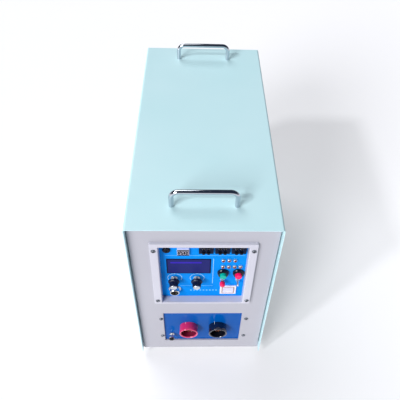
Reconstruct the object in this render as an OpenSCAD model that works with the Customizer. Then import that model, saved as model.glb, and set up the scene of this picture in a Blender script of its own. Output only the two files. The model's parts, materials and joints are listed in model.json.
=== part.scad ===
// Induction heating machine: a sheet-metal cabinet with a sunk control panel
// above and two output terminals below, water-cooled, with carrying handles.
// X points right, Y points to the rear and Z points up from the floor.

/* [Cabinet] */
// Width over the cover
cab_w = 270; // [250:5:320]
// Depth over the cover
cab_d = 560; // [520:10:640]
// Height from the floor to the top of the cover
cab_h = 470; // [450:5:520]
// Sheet thickness of the cover, the panels and the tray
sheet_t = 1.5; // [1:0.1:2]
// Outside bend radius of the cover
cover_bend_r = 4; // [3:0.5:8]
// How far the front and rear panels sit inside the cover's edges
panel_inset = 10; // [8:1:14]
// Gap between a panel's bent edge and the cover
panel_gap = 1.2; // [0.8:0.1:2]
// Depth of a panel's bent edges
panel_flange = 5; // [4:1:18]
// Outside bend radius of the panels
panel_bend_r = 3; // [2.5:0.5:5]
// Height of the tray's upturned edges
tray_edge_h = 24; // [18:1:28]
// How far the tray's floor sits above the cover's lower edge
tray_lift = 1.5; // [1:0.5:4]

/* [Feet] */
// Height of the cover's lower edge above the floor
foot_h = 15; // [10:1:25]
// Diameter of a foot at the tray
foot_top_d = 32; // [24:1:40]
// Diameter of a foot at the floor
foot_base_d = 26; // [20:1:36]
// Feet to the cabinet's sides
foot_side_inset = 34; // [24:1:60]
// Feet to the cabinet's ends
foot_end_inset = 55; // [40:1:90]

/* [Side louvres] */
// Length of a pressed louvre
louvre_len = 62; // [40:1:70]
// Height of a pressed louvre
louvre_h = 9; // [7:0.5:11]
// How far a louvre stands out of the wall
louvre_out = 3.5; // [2.5:0.5:5]
// Louvres in a column
louvre_rows = 7; // [3:1:8]
// Columns of louvres on each side
louvre_cols = 2; // [1:1:3]
// Distance between louvres in a column
louvre_pitch = 16; // [14:1:20]
// Distance between columns
louvre_col_pitch = 82; // [76:1:100]
// Lowest louvre above the cover's lower edge
louvre_rise = 90; // [60:1:140]
// Rearmost column's middle to the cover's rear edge
louvre_rear_inset = 110; // [90:1:160]

/* [Handles] */
// Distance between a handle's legs
handle_span = 114; // [90:1:150]
// Height of the grip's axis above the cover
handle_rise = 35; // [30:1:45]
// Diameter of the handle bar
handle_bar_d = 9; // [7:0.5:12]
// Inside radius of the handle's bends
handle_bend_r = 9; // [6:0.5:14]
// Front handle to the cover's front edge
handle_inset = 54; // [35:1:90]
// Rear handle to the cover's rear edge
rear_inset = 45; // [35:1:90]

/* [Control recess] */
// Width of the opening in the bezel
opening_w = 160; // [158:1:170]
// Height of the opening in the bezel
opening_h = 185; // [183:1:195]
// Top of the cabinet to the opening
opening_drop = 55; // [45:1:60]
// Depth from the bezel's face to the control plate
recess_depth = 16; // [14:0.5:20]
// How far the bezel stands out of the front panel
bezel_raise = 6; // [4:0.5:7]
// Width of the bezel's side rails
bezel_side_rail = 15.5; // [14:0.5:20]
// Width of the bezel's top rail
bezel_top_rail = 10; // [8:0.5:16]
// Width of the bezel's bottom rail
bezel_bottom_rail = 4; // [4:0.5:10]
// Wall of the bezel moulding
bezel_wall = 1.2; // [1:0.1:1.6]
// Radius of the bezel's inner lip
bezel_lip_r = 2.5; // [2:0.1:2.7]
// Radius of the bezel's outer edge
bezel_edge_r = 1.2; // [1.2:0.1:1.3]
// Bezel screws to the opening's upper and lower edges
bezel_screw_inset = 8.5; // [7:0.5:20]
// Thickness of the control plate
plate_t = 2; // [1.5:0.5:3]
// How far the control plate reaches past the opening
plate_overlap = 6; // [5:0.5:8]

/* [Displays] */
// Width of the tinted display window
screen_w = 83; // [70:0.5:84]
// Height of the tinted display window
screen_h = 47.5; // [40:0.5:48]
// How far the window stands out of the control plate
screen_proud = 0.6; // [0.2:0.1:1.5]
// Width of the small digit display
digit_w = 21.8; // [18:0.2:24]
// Height of the small digit display
digit_h = 18; // [14:0.5:19]
// How far the small display stands out
digit_proud = 5; // [3:0.5:6]

/* [Dial switches] */
// Width of a dial switch's face
dial_w = 26.5; // [25.5:0.5:28]
// Height of a dial switch's face
dial_h = 24; // [23:0.5:26]
// How far a dial switch stands out
dial_proud = 4; // [3:0.5:5]
// Distance between dial switches
dial_pitch = 29.6; // [29:0.1:30]
// Distance between the two digits of a switch
digit_pitch = 9; // [9:0.1:10]
// Width of a dial button
dial_button_w = 5.4; // [4.5:0.1:5.6]
// Height of a dial button
dial_button_h = 4; // [3.5:0.1:4.2]
// How far a dial button stands out of its switch
dial_button_proud = 4; // [3:0.1:4.5]
// Travel of a dial button
dial_button_travel = 1.8; // [1.2:0.1:2]
// Diameter of a number wheel
wheel_d = 14; // [12:0.5:14]

/* [Knobs] */
// Diameter of a knob's skirt
knob_skirt_d = 22; // [18:0.5:24]
// Diameter of a knob's fluted body
knob_body_d = 16; // [14:0.5:17]
// Diameter of a knob's metal cap
knob_cap_d = 13; // [10:0.5:13]
// Height of a knob's face above the control plate
knob_proud = 23; // [20:0.5:26]
// Gap between the control plate and the knob's skirt
knob_standoff = 8; // [6:0.5:8]
// Flutes round a knob
knob_flutes = 18; // [8:1:22]
// Diameter of a potentiometer's spindle
spindle_d = 6; // [5:0.5:6]
// Running clearance round a spindle, on the radius
spindle_clear = 0.05; // [0.03:0.01:0.1]

/* [Buttons and lamps] */
// Diameter of a push button's ring
push_ring_d = 22; // [20:0.5:24]
// Thickness of that ring
push_ring_t = 4; // [2:0.5:4]
// Diameter of a push button's cap
push_cap_d = 12.5; // [10:0.5:13]
// How far a cap stands out of the control plate
push_cap_proud = 12.5; // [8:0.5:14]
// Travel of a push button
push_travel = 3; // [2:0.5:4]
// Diameter of a lamp's bezel
lamp_bezel_d = 8; // [7:0.5:9]
// Diameter of a lamp's lens
lamp_lens_d = 5; // [4:0.5:5]
// Distance between lamps in a row
lamp_pitch = 11; // [10.5:0.1:11]

/* [Toggle switches] */
// Length of a toggle lever from its pivot
lever_len = 12.5; // [10:0.5:22]
// Tilt of a lever either way from straight out
lever_tilt = 12; // [8:0.5:14]
// Diameter of the sleeve on the left lever
sleeve_d = 9.5; // [7:0.5:10]
// Length of that sleeve
sleeve_len = 7.5; // [6:0.5:11]

/* [Power switch] */
// Width of the power switch's frame
rocker_frame_w = 32; // [30:0.5:34]
// Height of the power switch's frame
rocker_frame_h = 29; // [28:0.5:31]
// How far the frame stands out
rocker_frame_proud = 2.5; // [2:0.1:3.5]
// Width of the rocker
rocker_w = 21; // [18:0.5:24]
// Height of the rocker
rocker_h = 19; // [16:0.5:20]
// Tilt of the rocker either way from level
rocker_tilt = 8; // [6:0.5:9]

/* [Foot-switch socket] */
// Outside diameter of the socket's barrel
socket_d = 19.5; // [18:0.5:21]
// Inside diameter of the socket's mouth
socket_bore_d = 15; // [14:0.5:16]
// How far the socket stands out
socket_proud = 11; // [8:0.5:11]
// Depth of the socket's mouth
socket_mouth = 5; // [4:0.5:6]

/* [Output window] */
// Width of the window for the output terminals
window_w = 166.5; // [160:0.5:170]
// Height of that window
window_h = 124.5; // [100:0.5:126]
// Window's lower edge above the cover's lower edge
window_rise = 36.5; // [36:0.5:48]
// Window's middle, to the right of the cabinet's middle
window_offset = 1.75; // [0:0.25:3]
// Depth from the front panel to the output plate
window_depth = 3.3; // [2.5:0.1:5]
// Thickness of the output plate
output_plate_t = 4; // [3:0.5:6]
// Outside diameter of an output terminal
terminal_d = 40; // [36:0.5:42]
// Inside diameter of an output terminal
terminal_bore_d = 33; // [30:0.5:34]
// How far a terminal stands out of the output plate
terminal_proud = 18; // [17:0.5:22]
// Distance between the two terminals
terminal_pitch = 63.5; // [60:0.5:70]
// Outside diameter of a copper union
union_d = 14; // [12:0.5:16]
// Inside diameter of a copper union
union_bore_d = 8; // [6:0.5:9]
// How far a union stands out of the output plate
union_proud = 9; // [8:0.5:14]
// Diameter of the earth post's stem
earth_stem_d = 6; // [5:0.5:7]
// Diameter of the earth post's thumb nut
earth_nut_d = 12; // [10:0.5:14]

/* [Rear] */
// Side of the square fan
fan_size = 120; // [110:1:124]
// Depth of the fan
fan_depth = 25; // [22:1:38]
// Fan's middle below the top of the cabinet
fan_drop = 130; // [110:1:160]
// Blades of the fan
fan_blades = 7; // [5:1:9]
// Rings of the fan guard
guard_rings = 6; // [4:1:7]
// Wire diameter of the fan guard
guard_wire = 2; // [1.6:0.1:2.4]
// Water nipples above the cover's lower edge
nipple_rise = 105; // [100:1:115]
// Distance between the water nipples
nipple_pitch = 190; // [184:1:196]
// Outside diameter of a water nipple's tail
nipple_d = 10; // [8:0.5:12]
// Bore of a water nipple
nipple_bore_d = 6; // [5:0.5:7]
// Length of a water nipple's tail outside its hexagon
nipple_tail = 24; // [18:1:28]
// Bore of the supply cable's gland
gland_bore_d = 14; // [10:0.5:16]
// Gland above the cover's lower edge
gland_rise = 52; // [48:1:70]

/* [Hidden] */
$fn = 48;

// Colours as the photograph shows them
cover_colour = "#CBE8EF";
panel_colour = "#CFCFDB";
bezel_colour = "#DEDDE8";
plate_colour = "#0A90F0";
dark_colour = "#1F2A44";
chrome_colour = "#C8CCD4";
copper_colour = "#C8764A";
brass_colour = "#C9A555";
red_colour = "#E83A70";
green_colour = "#00C8B4";
white_colour = "#E4E4F2";
black_colour = "#1A1D28";
board_colour = "#2E7D4F";

// Overrun of every cut, and the clearances between pieces
cut = 1;
loose = 0.3;
snug = 0.2;

// Screws: the panel screws and the larger ones under the handles
screw_d = 4;
screw_head_d = 7.6;
screw_head_h = 2.6;
screw_len = 7;
handle_screw_d = 5;
handle_screw_head_d = 9;
handle_screw_head_h = 3;
handle_screw_len = 12;
side_screw_count = 3;
side_screw_inset = 60;

// Planes of the cabinet
inner_w = cab_w - 2 * sheet_t;
front_y = -cab_d / 2 + panel_inset;
rear_y = cab_d / 2 - panel_inset;
tray_z = foot_h + tray_lift;
floor_z = tray_z + sheet_t;
panel_w = inner_w - 2 * panel_gap;
panel_low_z = tray_z;
panel_top_z = cab_h - sheet_t - panel_gap;
panel_h = panel_top_z - panel_low_z;

// The control recess, measured from the middle of its opening
opening_z = cab_h - opening_drop - opening_h / 2;
bezel_face_y = front_y - bezel_raise;
plate_y = bezel_face_y + recess_depth;
bezel_w = opening_w + 2 * bezel_side_rail;
bezel_h = opening_h + bezel_top_rail + bezel_bottom_rail;
bezel_shift = (bezel_top_rail - bezel_bottom_rail) / 2;
bezel_corner_r = 1;
sleeve_w = opening_w + 2 * bezel_wall;
sleeve_h = opening_h + 2 * bezel_wall;
bezel_screw_x = opening_w / 2 + bezel_side_rail * 0.55;
bezel_screw_z = opening_h / 2 - bezel_screw_inset;
bezel_boss_d = screw_d + 4 * bezel_wall;
plate_w = opening_w + 2 * plate_overlap;
plate_h = opening_h + 2 * plate_overlap;

// Places of the controls on the plate, from the opening's middle; the rows are shares of its height
screen_x = -27;
screen_z = opening_h * 0.076216;
screen_lip = 3;
screen_t = plate_t + screen_proud;
digit_x = -36.8;
digit_z = opening_h * 0.343243;
digit_step = 1.2;
digit_back = 9;
digit_case_r = 0.6;
dial_first_x = 4.6;
dial_z = opening_h * 0.384324;
dial_wall = 1.5;
dial_step = 1.2;
dial_side = 0.8;
dial_back = 20;
dial_corner_r = 0.8;
dial_button_lip = 0.6;
dial_window_w = 5.6;
dial_window_h = 7;
wheel_t = 7.4;
wheel_setback = 0.2;
wheel_hub_d = 4;
// A pressed button just clears the wheel beside it
pressed_depth = dial_wall + snug + dial_button_lip + dial_button_travel;
wheel_depth = dial_wall + wheel_setback + wheel_d / 2;
wheel_reach = sqrt(pow(wheel_d / 2, 2) - pow(wheel_depth - pressed_depth, 2));
dial_button_z = wheel_reach + loose + dial_button_h / 2;
dial_inner_w = dial_w - 2 * dial_step - 2 * dial_wall;
dial_inner_h = dial_h - 2 * dial_step - 2 * dial_side;
knob_left_x = -55.5;
knob_right_x = -11.8;
knob_z = opening_h * -0.137838;
socket_x = -55;
socket_z = opening_h * -0.348649;
buzzer_x = -67;
buzzer_z = opening_h * 0.362162;
buzzer_d = 14;
buzzer_proud = 4;
buzzer_hole_d = 3;
buzzer_neck_d = 11;
buzzer_back = 8;
buzzer_edge = 1;
lamp_first_x = 37;
lamp_upper_z = opening_h * 0.191892;
lamp_lower_z = opening_h * 0.081081;
lamp_upper_count = 3;
lamp_lower_count = 4;
push_left_x = 38.3;
push_right_x = 67.5;
push_z = opening_h * -0.032432;
toggle_left_x = 37.8;
toggle_right_x = 67.3;
toggle_z = opening_h * -0.156757;
rocker_x = 50.7;
rocker_z = opening_h * -0.361622;

// Knob and potentiometer
pot_body_d = 17;
pot_body_t = 9;
pot_bush_d = 7;
pot_bush_len = 5.5;
pot_nut_d = 11;
pot_nut_t = 2;
pot_washer_d = 12.5;
pot_washer_t = 0.8;
knob_skirt_t = 4;
knob_flute_r = 0.8;
knob_edge_r = 1;
knob_cap_t = 1.2;

// Push buttons and lamps
push_tube_d = 16;
push_body_side = 18;
push_body_t = 20;
push_nut_d = 20;
push_nut_t = 3;
push_stem_len = 12;
push_ring_edge = 1;
push_cap_edge = 0.8;
lamp_flange_t = 4;
lamp_tube_d = 6.4;
lamp_tube_len = 7;
lamp_lens_out = 6;

// Toggle switches
toggle_bush_d = 6;
toggle_bush_bore_d = 4.8;
toggle_bush_len = 5;
toggle_nut_d = 9;
toggle_nut_t = 2;
toggle_pivot = 3;
toggle_body_w = 8;
toggle_body_h = 13;
toggle_body_t = 12;
toggle_cavity = 7;
lever_root_d = 2.6;
lever_tip_d = 4.4;
lever_ball_d = 4;
sleeve_root_d = 6.6;

// Power switch
rocker_body_t = 18;
rocker_body_step = 2.4;
rocker_wall = 2;
rocker_pivot = 3.2;
rocker_slope = 14;
rocker_pin_d = 3;
rocker_corner_r = 1.5;

// Socket
socket_flange_d = 25;
socket_flange_t = 2;
socket_thread_d = 17;
socket_back = 12;
socket_floor = 1.5;
socket_edge = 0.8;
insert_d = 14.4;
insert_hole_d = 2.2;
insert_ring_r = 4;
insert_holes = 4;
insert_hole_depth = 3;

// Output window and terminals
window_z = foot_h + window_rise + window_h / 2;
window_screw_left_x = 5;
window_screw_right_x = 10;
window_screw_z = 38.5;
output_overlap_left = 11;
output_overlap_right = 19;
output_overlap_z = 10;
output_y = front_y + window_depth;
terminal_z = -2.25;
terminal_mid_x = 2;
terminal_base_t = 3;
terminal_edge_r = 1.4;
terminal_thread_d = 26;
terminal_nut_d = 34;
terminal_nut_t = 6;
union_collar_d = 22;
union_collar_t = 2;
union_back = 24;
earth_x = -67.5;
earth_z = -34.75;
earth_proud = 15;
earth_nut_t = 5;
earth_base_d = 11;
earth_base_t = 3;
earth_back = 8;
earth_socket_d = 5;
earth_socket_depth = 2.5;
earth_knurls = 16;
earth_knurl_r = 0.5;

// Rear fan, guard, nipples and gland
fan_z = cab_h - fan_drop;
fan_rim = 3;
fan_bore_d = fan_size - 2 * fan_rim;
fan_hub_d = 42;
fan_flange_t = 4;
fan_hole_d = 4.4;
fan_hole_pitch = fan_size * 0.875;
fan_strut_w = 5;
fan_plate_t = 3;
fan_shaft_d = 4;
fan_shaft_len = 9;
fan_tip_gap = 1.5;
fan_hub_gap = 1;
fan_blade_t = 2;
fan_blade_pitch = 48;
fan_blade_curve_r = 40;
fan_blade_share = 0.76;
guard_boss_d = 9;
guard_lift = 3;
nipple_hex_d = 15;
nipple_hex_t = 8;
nipple_inner = 14;
nipple_barbs = 4;
nipple_barb_r = 0.8;
gland_x = -70;
gland_thread_d = 22;
gland_hex_d = 28;
gland_hex_t = 6;
gland_dome_d = 24;
gland_dome_len = 16;
gland_lip_r = 3;
gland_inner = 12;
gland_nut_t = 4;
vent_slot_w = 5;
vent_slot_len = 46;
vent_slot_pitch = 11;
vent_slot_count = 7;
vent_rise = 150;

// Inside: transformer, capacitors, heat sink, boards and hoses
core_w = 116;
core_d = 62;
core_h = 108;
core_leg = 18;
core_mid_leg = 36;
core_foot_w = 14;
winding_gap = 1.2;
winding_turns = 6;
winding_groove = 2;
bus_t = 9;
bus_w = 24;
bus_h = 60;
cap_d = 46;
cap_h = 70;
cap_cols = 3;
cap_rows = 2;
cap_pitch = 54;
cap_gap = 6.1;
cap_base_t = 3;
cap_stud_d = 8;
cap_stud_h = 8;
cap_bus_t = 3;
sink_w = 150;
sink_d = 150;
sink_plate_t = 12;
sink_fin_h = 34;
sink_fin_t = 3;
sink_fins = 11;
sink_y = 130;
module_w = 38;
module_d = 92;
module_h = 24;
module_pitch = 48;
module_count = 3;
module_post_d = 8;
module_post_h = 4;
board_t = 1.6;
board_gap = 34;
board_margin = 5;
standoff_d = 6;
power_board_w = 140;
power_board_d = 120;
power_board_rise = 40;
chip_w = 16;
chip_d = 10;
chip_h = 4;
can_d = 16;
can_h = 26;
hose_d = 10;
hose_bore_d = 6.4;
hose_bend_r = 22;

// Reach of the object to the front and to the rear, and the shift that centres it
front_reach = max(cab_d / 2, -output_y + terminal_proud, -plate_y + knob_proud);
rear_reach = max(cab_d / 2, rear_y + nipple_hex_t + nipple_tail, rear_y + gland_hex_t + gland_dome_len);
centre_shift = (front_reach - rear_reach) / 2;

// A bar or a bore along Z, from its lower end
module bar(z, d, h) {
    translate([0, 0, z]) cylinder(d = d, h = h);
}

module hexagon(z, d, h) {
    translate([0, 0, z]) cylinder(d = d, h = h, $fn = 6);
}

// A clearance hole through a sheet whose face is at height zero
module sheet_hole(d) {
    bar(-sheet_t - cut, d + 2 * snug, sheet_t + 2 * cut);
}

// A rectangle with round corners, about its middle
module round_rect(w, h, r) {
    square([w - 2 * r, h], center = true);
    square([w, h - 2 * r], center = true);
    for (x = [-1, 1], y = [-1, 1])
        translate([x * (w / 2 - r), y * (h / 2 - r)]) circle(r);
}

// The children's profile carried round a rectangle, X outward and Y to the front
module frame_sweep(w, h, r) {
    for (side = [0 : 3])
        rotate([0, 0, 90 * side]) {
            across = side % 2 == 0 ? w : h;
            along = side % 2 == 0 ? h : w;
            translate([across / 2, 0, 0]) rotate([90, 0, 0])
                linear_extrude(height = along - 2 * r, center = true) children();
            translate([across / 2 - r, along / 2 - r, 0])
                rotate_extrude(angle = 90) translate([r, 0]) children();
        }
}

// Places something on a front plane: X right, Y up and Z out to the front
module at_front(x, y, z) {
    translate([x, y, z]) rotate([90, 0, 0]) children();
}

// Places something on a rear plane: X left, Y up and Z out to the rear
module at_rear(x, y, z) {
    translate([x, y, z]) rotate([90, 0, 180]) children();
}

// Places something on the control plate, from the opening's middle
module on_plate(x, z) {
    at_front(x, plate_y, opening_z + z) children();
}

// Places something on the output plate, from the window's middle
module on_output(x, z) {
    at_front(window_offset + x, output_y, window_z + z) children();
}

// The whole object stands about the middle of its own length
module centred() {
    translate([0, centre_shift, 0]) children();
}

// A pan-head screw, seated at height zero with its shank below
module pan_screw(d, head_d, head_h, len) {
    rotate_extrude() polygon([
        [0, -len], [d / 2, -len], [d / 2, 0], [head_d / 2, 0],
        [head_d / 2, head_h * 0.45], [head_d * 0.38, head_h * 0.85], [head_d * 0.2, head_h], [0, head_h]
    ]);
}

module panel_screw() {
    pan_screw(screw_d, screw_head_d, screw_head_h, screw_len);
}

// Places of the screws that show
module bezel_screw_places() {
    for (x = [-1, 1], z = [-1, 1])
        at_front(x * bezel_screw_x, front_y, opening_z + z * bezel_screw_z) children();
}

module window_screw_places() {
    for (z = [-1, 1]) {
        screw_z = window_z + z * window_screw_z;
        at_front(window_offset - window_w / 2 - window_screw_left_x, front_y, screw_z) children();
        at_front(window_offset + window_w / 2 + window_screw_right_x, front_y, screw_z) children();
    }
}

module side_screw_places() {
    step = (cab_d - 2 * side_screw_inset) / (side_screw_count - 1);
    for (side = [-1, 1], i = [0 : side_screw_count - 1])
        translate([side * cab_w / 2, -cab_d / 2 + side_screw_inset + i * step, tray_z + tray_edge_h / 2])
            rotate([0, side * 90, 0]) children();
}

module rear_screw_places() {
    for (x = [-1, 1], y = [-1, 1])
        at_rear(x * fan_hole_pitch / 2, rear_y, fan_z + y * fan_hole_pitch / 2) children();
}

module handle_places(y) {
    for (x = [-1, 1])
        translate([x * handle_span / 2, y, cab_h]) children();
}

front_handle_y = -cab_d / 2 + handle_inset;
rear_handle_y = cab_d / 2 - rear_inset;

// Outline of the cover across the cabinet: an upturned U
module cover_outline(w, h, r) {
    translate([0, h / 2]) square([w - 2 * r, h], center = true);
    translate([0, (h - r) / 2]) square([w, h - r], center = true);
    for (x = [-1, 1]) translate([x * (w / 2 - r), h - r]) circle(r);
}

// One pressed louvre, X out of the wall and Z up, open below
louvre_k = (louvre_h * louvre_h - louvre_out * louvre_out) / (2 * louvre_out);
louvre_r = louvre_k + louvre_out;

module louvre_slice(r) {
    intersection() {
        translate([-louvre_k, 0]) circle(r);
        translate([-sheet_t / 2, 0]) square([sheet_t / 2 + louvre_out, louvre_h]);
    }
}

module louvre_hood() {
    rotate([90, 0, 0]) linear_extrude(height = louvre_len, center = true) difference() {
        louvre_slice(louvre_r);
        louvre_slice(louvre_r - sheet_t);
    }
    for (end = [-1, 1])
        translate([0, end * (louvre_len - sheet_t) / 2, 0])
            rotate([90, 0, 0]) linear_extrude(height = sheet_t, center = true) louvre_slice(louvre_r);
}

module louvre_places() {
    for (side = [0, 1], col = [0 : louvre_cols - 1], row = [0 : louvre_rows - 1])
        mirror([side, 0, 0])
            translate([
                cab_w / 2,
                cab_d / 2 - louvre_rear_inset - col * louvre_col_pitch,
                foot_h + louvre_rise + row * louvre_pitch
            ]) children();
}

module cover() {
    wall_h = cab_h - foot_h;
    color(cover_colour) centred() {
        difference() {
            translate([0, cab_d / 2, foot_h]) rotate([90, 0, 0])
                linear_extrude(height = cab_d) difference() {
                    cover_outline(cab_w, wall_h, cover_bend_r);
                    translate([0, -cut])
                        cover_outline(inner_w, wall_h - sheet_t + cut, cover_bend_r - sheet_t);
                }
            louvre_places()
                translate([-sheet_t - cut, -louvre_len / 2 + sheet_t, 0])
                    cube([sheet_t + 2 * cut, louvre_len - 2 * sheet_t, louvre_h - 2 * sheet_t]);
            for (y = [front_handle_y, rear_handle_y]) handle_places(y)
                sheet_hole(handle_screw_d);
            side_screw_places() sheet_hole(screw_d);
        }
        louvre_places() louvre_hood();
    }
}

module base_tray() {
    tray_d = rear_y - front_y - 2 * sheet_t;
    color(panel_colour) centred() difference() {
        translate([-inner_w / 2, -tray_d / 2, tray_z]) cube([inner_w, tray_d, tray_edge_h]);
        translate([-inner_w / 2 + sheet_t, -tray_d / 2 + sheet_t, floor_z])
            cube([inner_w - 2 * sheet_t, tray_d - 2 * sheet_t, tray_edge_h]);
        side_screw_places()
            bar(-2 * sheet_t - cut, screw_d + 2 * snug, 2 * sheet_t + 2 * cut);
        foot_places() bar(-cut, screw_d + 2 * snug, tray_z + sheet_t + 2 * cut);
    }
}

module foot_places() {
    for (x = [-1, 1], y = [-1, 1])
        translate([x * (cab_w / 2 - foot_side_inset), y * (cab_d / 2 - foot_end_inset), 0]) children();
}

module rubber_feet() {
    color(black_colour) centred() foot_places() difference() {
        cylinder(d1 = foot_base_d, d2 = foot_top_d, h = tray_z);
        bar(-cut, screw_head_d + 2 * loose, tray_z / 2 + cut);
        cylinder(d = screw_d + 2 * snug, h = tray_z + cut);
    }
}

// Plan of a panel: a shallow channel with round bends, front face on Y zero
module panel_plan() {
    difference() {
        translate([0, panel_flange]) round_rect(panel_w, 2 * panel_flange, panel_bend_r);
        translate([0, panel_flange])
            round_rect(panel_w - 2 * sheet_t, 2 * (panel_flange - sheet_t), panel_bend_r - sheet_t);
        translate([-panel_w, panel_flange]) square([2 * panel_w, 2 * panel_flange]);
    }
}

// A whole panel with its face on the front plane, bent edges clear of the tray below
module panel_shell() {
    difference() {
        union() {
            translate([0, 0, panel_low_z]) linear_extrude(height = panel_h) panel_plan();
            translate([-panel_w / 2 + panel_bend_r, 0, panel_top_z - sheet_t])
                cube([panel_w - 2 * panel_bend_r, panel_flange, sheet_t]);
        }
        translate([-panel_w, sheet_t, panel_low_z - cut])
            cube([2 * panel_w, panel_flange, tray_edge_h + cut + loose]);
    }
}

module front_panel() {
    color(panel_colour) centred() difference() {
        union() {
            translate([0, front_y, 0]) panel_shell();
            at_front(window_offset, output_y, window_z) linear_extrude(height = window_depth - sheet_t)
                square([window_w + 2 * sheet_t, window_h + 2 * sheet_t], center = true);
        }
        at_front(window_offset, front_y, window_z) translate([0, 0, -window_depth - cut])
            linear_extrude(height = window_depth + 2 * cut) square([window_w, window_h], center = true);
        at_front(0, front_y, opening_z) translate([0, 0, -sheet_t - cut])
            linear_extrude(height = sheet_t + 2 * cut)
                square([sleeve_w + 2 * snug, sleeve_h + 2 * snug], center = true);
        bezel_screw_places() sheet_hole(screw_d);
        window_screw_places() sheet_hole(screw_d);
    }
}

module vent_slot() {
    for (x = [-1, 1]) translate([x * (vent_slot_len - vent_slot_w) / 2, 0]) circle(d = vent_slot_w);
    square([vent_slot_len - vent_slot_w, vent_slot_w], center = true);
}

module rear_panel() {
    color(panel_colour) centred() difference() {
        rotate([0, 0, 180]) translate([0, -rear_y, 0]) panel_shell();
        at_rear(0, rear_y, fan_z) bar(-sheet_t - cut, fan_bore_d, sheet_t + 2 * cut);
        rear_screw_places() sheet_hole(screw_d);
        nipple_places() sheet_hole(nipple_d);
        gland_place() sheet_hole(gland_thread_d);
        for (side = [-1, 1], i = [0 : vent_slot_count - 1])
            at_rear(side * vent_slot_len * 0.75, rear_y, foot_h + vent_rise + i * vent_slot_pitch)
                translate([0, 0, -sheet_t - cut]) linear_extrude(height = sheet_t + 2 * cut) vent_slot();
    }
}

module machine_screws() {
    color(chrome_colour) centred() {
        bezel_screw_places() translate([0, 0, bezel_raise]) pan_screw(
            screw_d, screw_head_d, screw_head_h, screw_len + bezel_raise);
        window_screw_places() panel_screw();
        side_screw_places() panel_screw();
        rear_screw_places() translate([0, 0, guard_lift + guard_wire]) pan_screw(
            screw_d, screw_head_d, screw_head_h, screw_len + guard_lift + guard_wire);
        for (y = [front_handle_y, rear_handle_y]) handle_places(y)
            translate([0, 0, -sheet_t]) rotate([180, 0, 0])
                pan_screw(handle_screw_d, handle_screw_head_d, handle_screw_head_h, handle_screw_len);
    }
}

// A bar handle standing on the cover: two legs, two bends and the grip
module bar_handle() {
    bend = handle_bend_r + handle_bar_d / 2;
    difference() {
        union() {
            for (side = [0, 1]) mirror([side, 0, 0]) translate([handle_span / 2, 0, 0]) {
                cylinder(d = handle_bar_d, h = handle_rise - bend);
                translate([-bend, 0, handle_rise - bend]) rotate([90, 0, 0])
                    rotate_extrude(angle = 90) translate([bend, 0]) circle(d = handle_bar_d);
            }
            translate([0, 0, handle_rise]) rotate([0, 90, 0])
                cylinder(d = handle_bar_d, h = handle_span - 2 * bend, center = true);
        }
        for (x = [-1, 1]) translate([x * handle_span / 2, 0, -cut])
            cylinder(d = handle_screw_d, h = handle_screw_len + 2 * cut);
    }
}

module front_handle() {
    color(chrome_colour) centred() translate([0, front_handle_y, cab_h]) bar_handle();
}

module rear_handle() {
    color(chrome_colour) centred() translate([0, rear_handle_y, cab_h]) bar_handle();
}

// Profile of the sleeve that lines the recess, with its round front lip
module sleeve_profile() {
    translate([0, bezel_raise - recess_depth]) square([bezel_wall, recess_depth - bezel_lip_r]);
    intersection() {
        translate([bezel_lip_r, bezel_raise - bezel_lip_r]) difference() {
            circle(bezel_lip_r);
            circle(bezel_lip_r - bezel_wall);
        }
        translate([0, bezel_raise - bezel_lip_r]) square(bezel_lip_r);
    }
}

// Profile of the bezel's outer skirt, with its round front edge
module skirt_profile() {
    translate([bezel_edge_r - bezel_wall, 0]) square([bezel_wall, bezel_raise - bezel_edge_r]);
    intersection() {
        translate([0, bezel_raise - bezel_edge_r]) circle(bezel_edge_r);
        translate([0, bezel_raise - bezel_edge_r]) square(bezel_edge_r);
    }
}

module bezel_frame() {
    color(bezel_colour) centred() at_front(0, front_y, opening_z) difference() {
        union() {
            frame_sweep(opening_w, opening_h, bezel_corner_r) sleeve_profile();
            translate([0, bezel_shift, 0])
                frame_sweep(bezel_w - 2 * bezel_edge_r, bezel_h - 2 * bezel_edge_r, bezel_corner_r)
                    skirt_profile();
            translate([0, 0, bezel_raise - bezel_wall]) linear_extrude(height = bezel_wall) difference() {
                translate([0, bezel_shift])
                    round_rect(bezel_w - 2 * bezel_edge_r, bezel_h - 2 * bezel_edge_r, bezel_corner_r);
                round_rect(
                    opening_w + 2 * bezel_lip_r, opening_h + 2 * bezel_lip_r, bezel_corner_r + bezel_lip_r
                );
            }
            for (x = [-1, 1], z = [-1, 1]) translate([x * bezel_screw_x, z * bezel_screw_z, 0])
                cylinder(d = bezel_boss_d, h = bezel_raise - bezel_wall);
        }
        for (x = [-1, 1], z = [-1, 1]) translate([x * bezel_screw_x, z * bezel_screw_z, -cut])
            cylinder(d = screw_d + 2 * snug, h = bezel_raise + 2 * cut);
    }
}

// Places of the lamps: three in the upper row and four in the lower
module lamp_places() {
    for (i = [0 : lamp_upper_count - 1]) on_plate(lamp_first_x + i * lamp_pitch, lamp_upper_z) children();
    for (i = [0 : lamp_lower_count - 1]) on_plate(lamp_first_x + i * lamp_pitch, lamp_lower_z) children();
}

module dial_places() {
    for (i = [0 : 2]) on_plate(dial_first_x + i * dial_pitch, dial_z) children();
}

module push_places() {
    for (x = [push_left_x, push_right_x]) on_plate(x, push_z) children();
}

module toggle_places() {
    for (x = [toggle_left_x, toggle_right_x]) on_plate(x, toggle_z) children();
}

module knob_places() {
    for (x = [knob_left_x, knob_right_x]) on_plate(x, knob_z) children();
}

// A cut through the control plate with the children's outline
module through_plate() {
    translate([0, 0, -plate_t - cut]) linear_extrude(height = plate_t + 2 * cut) children();
}

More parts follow.
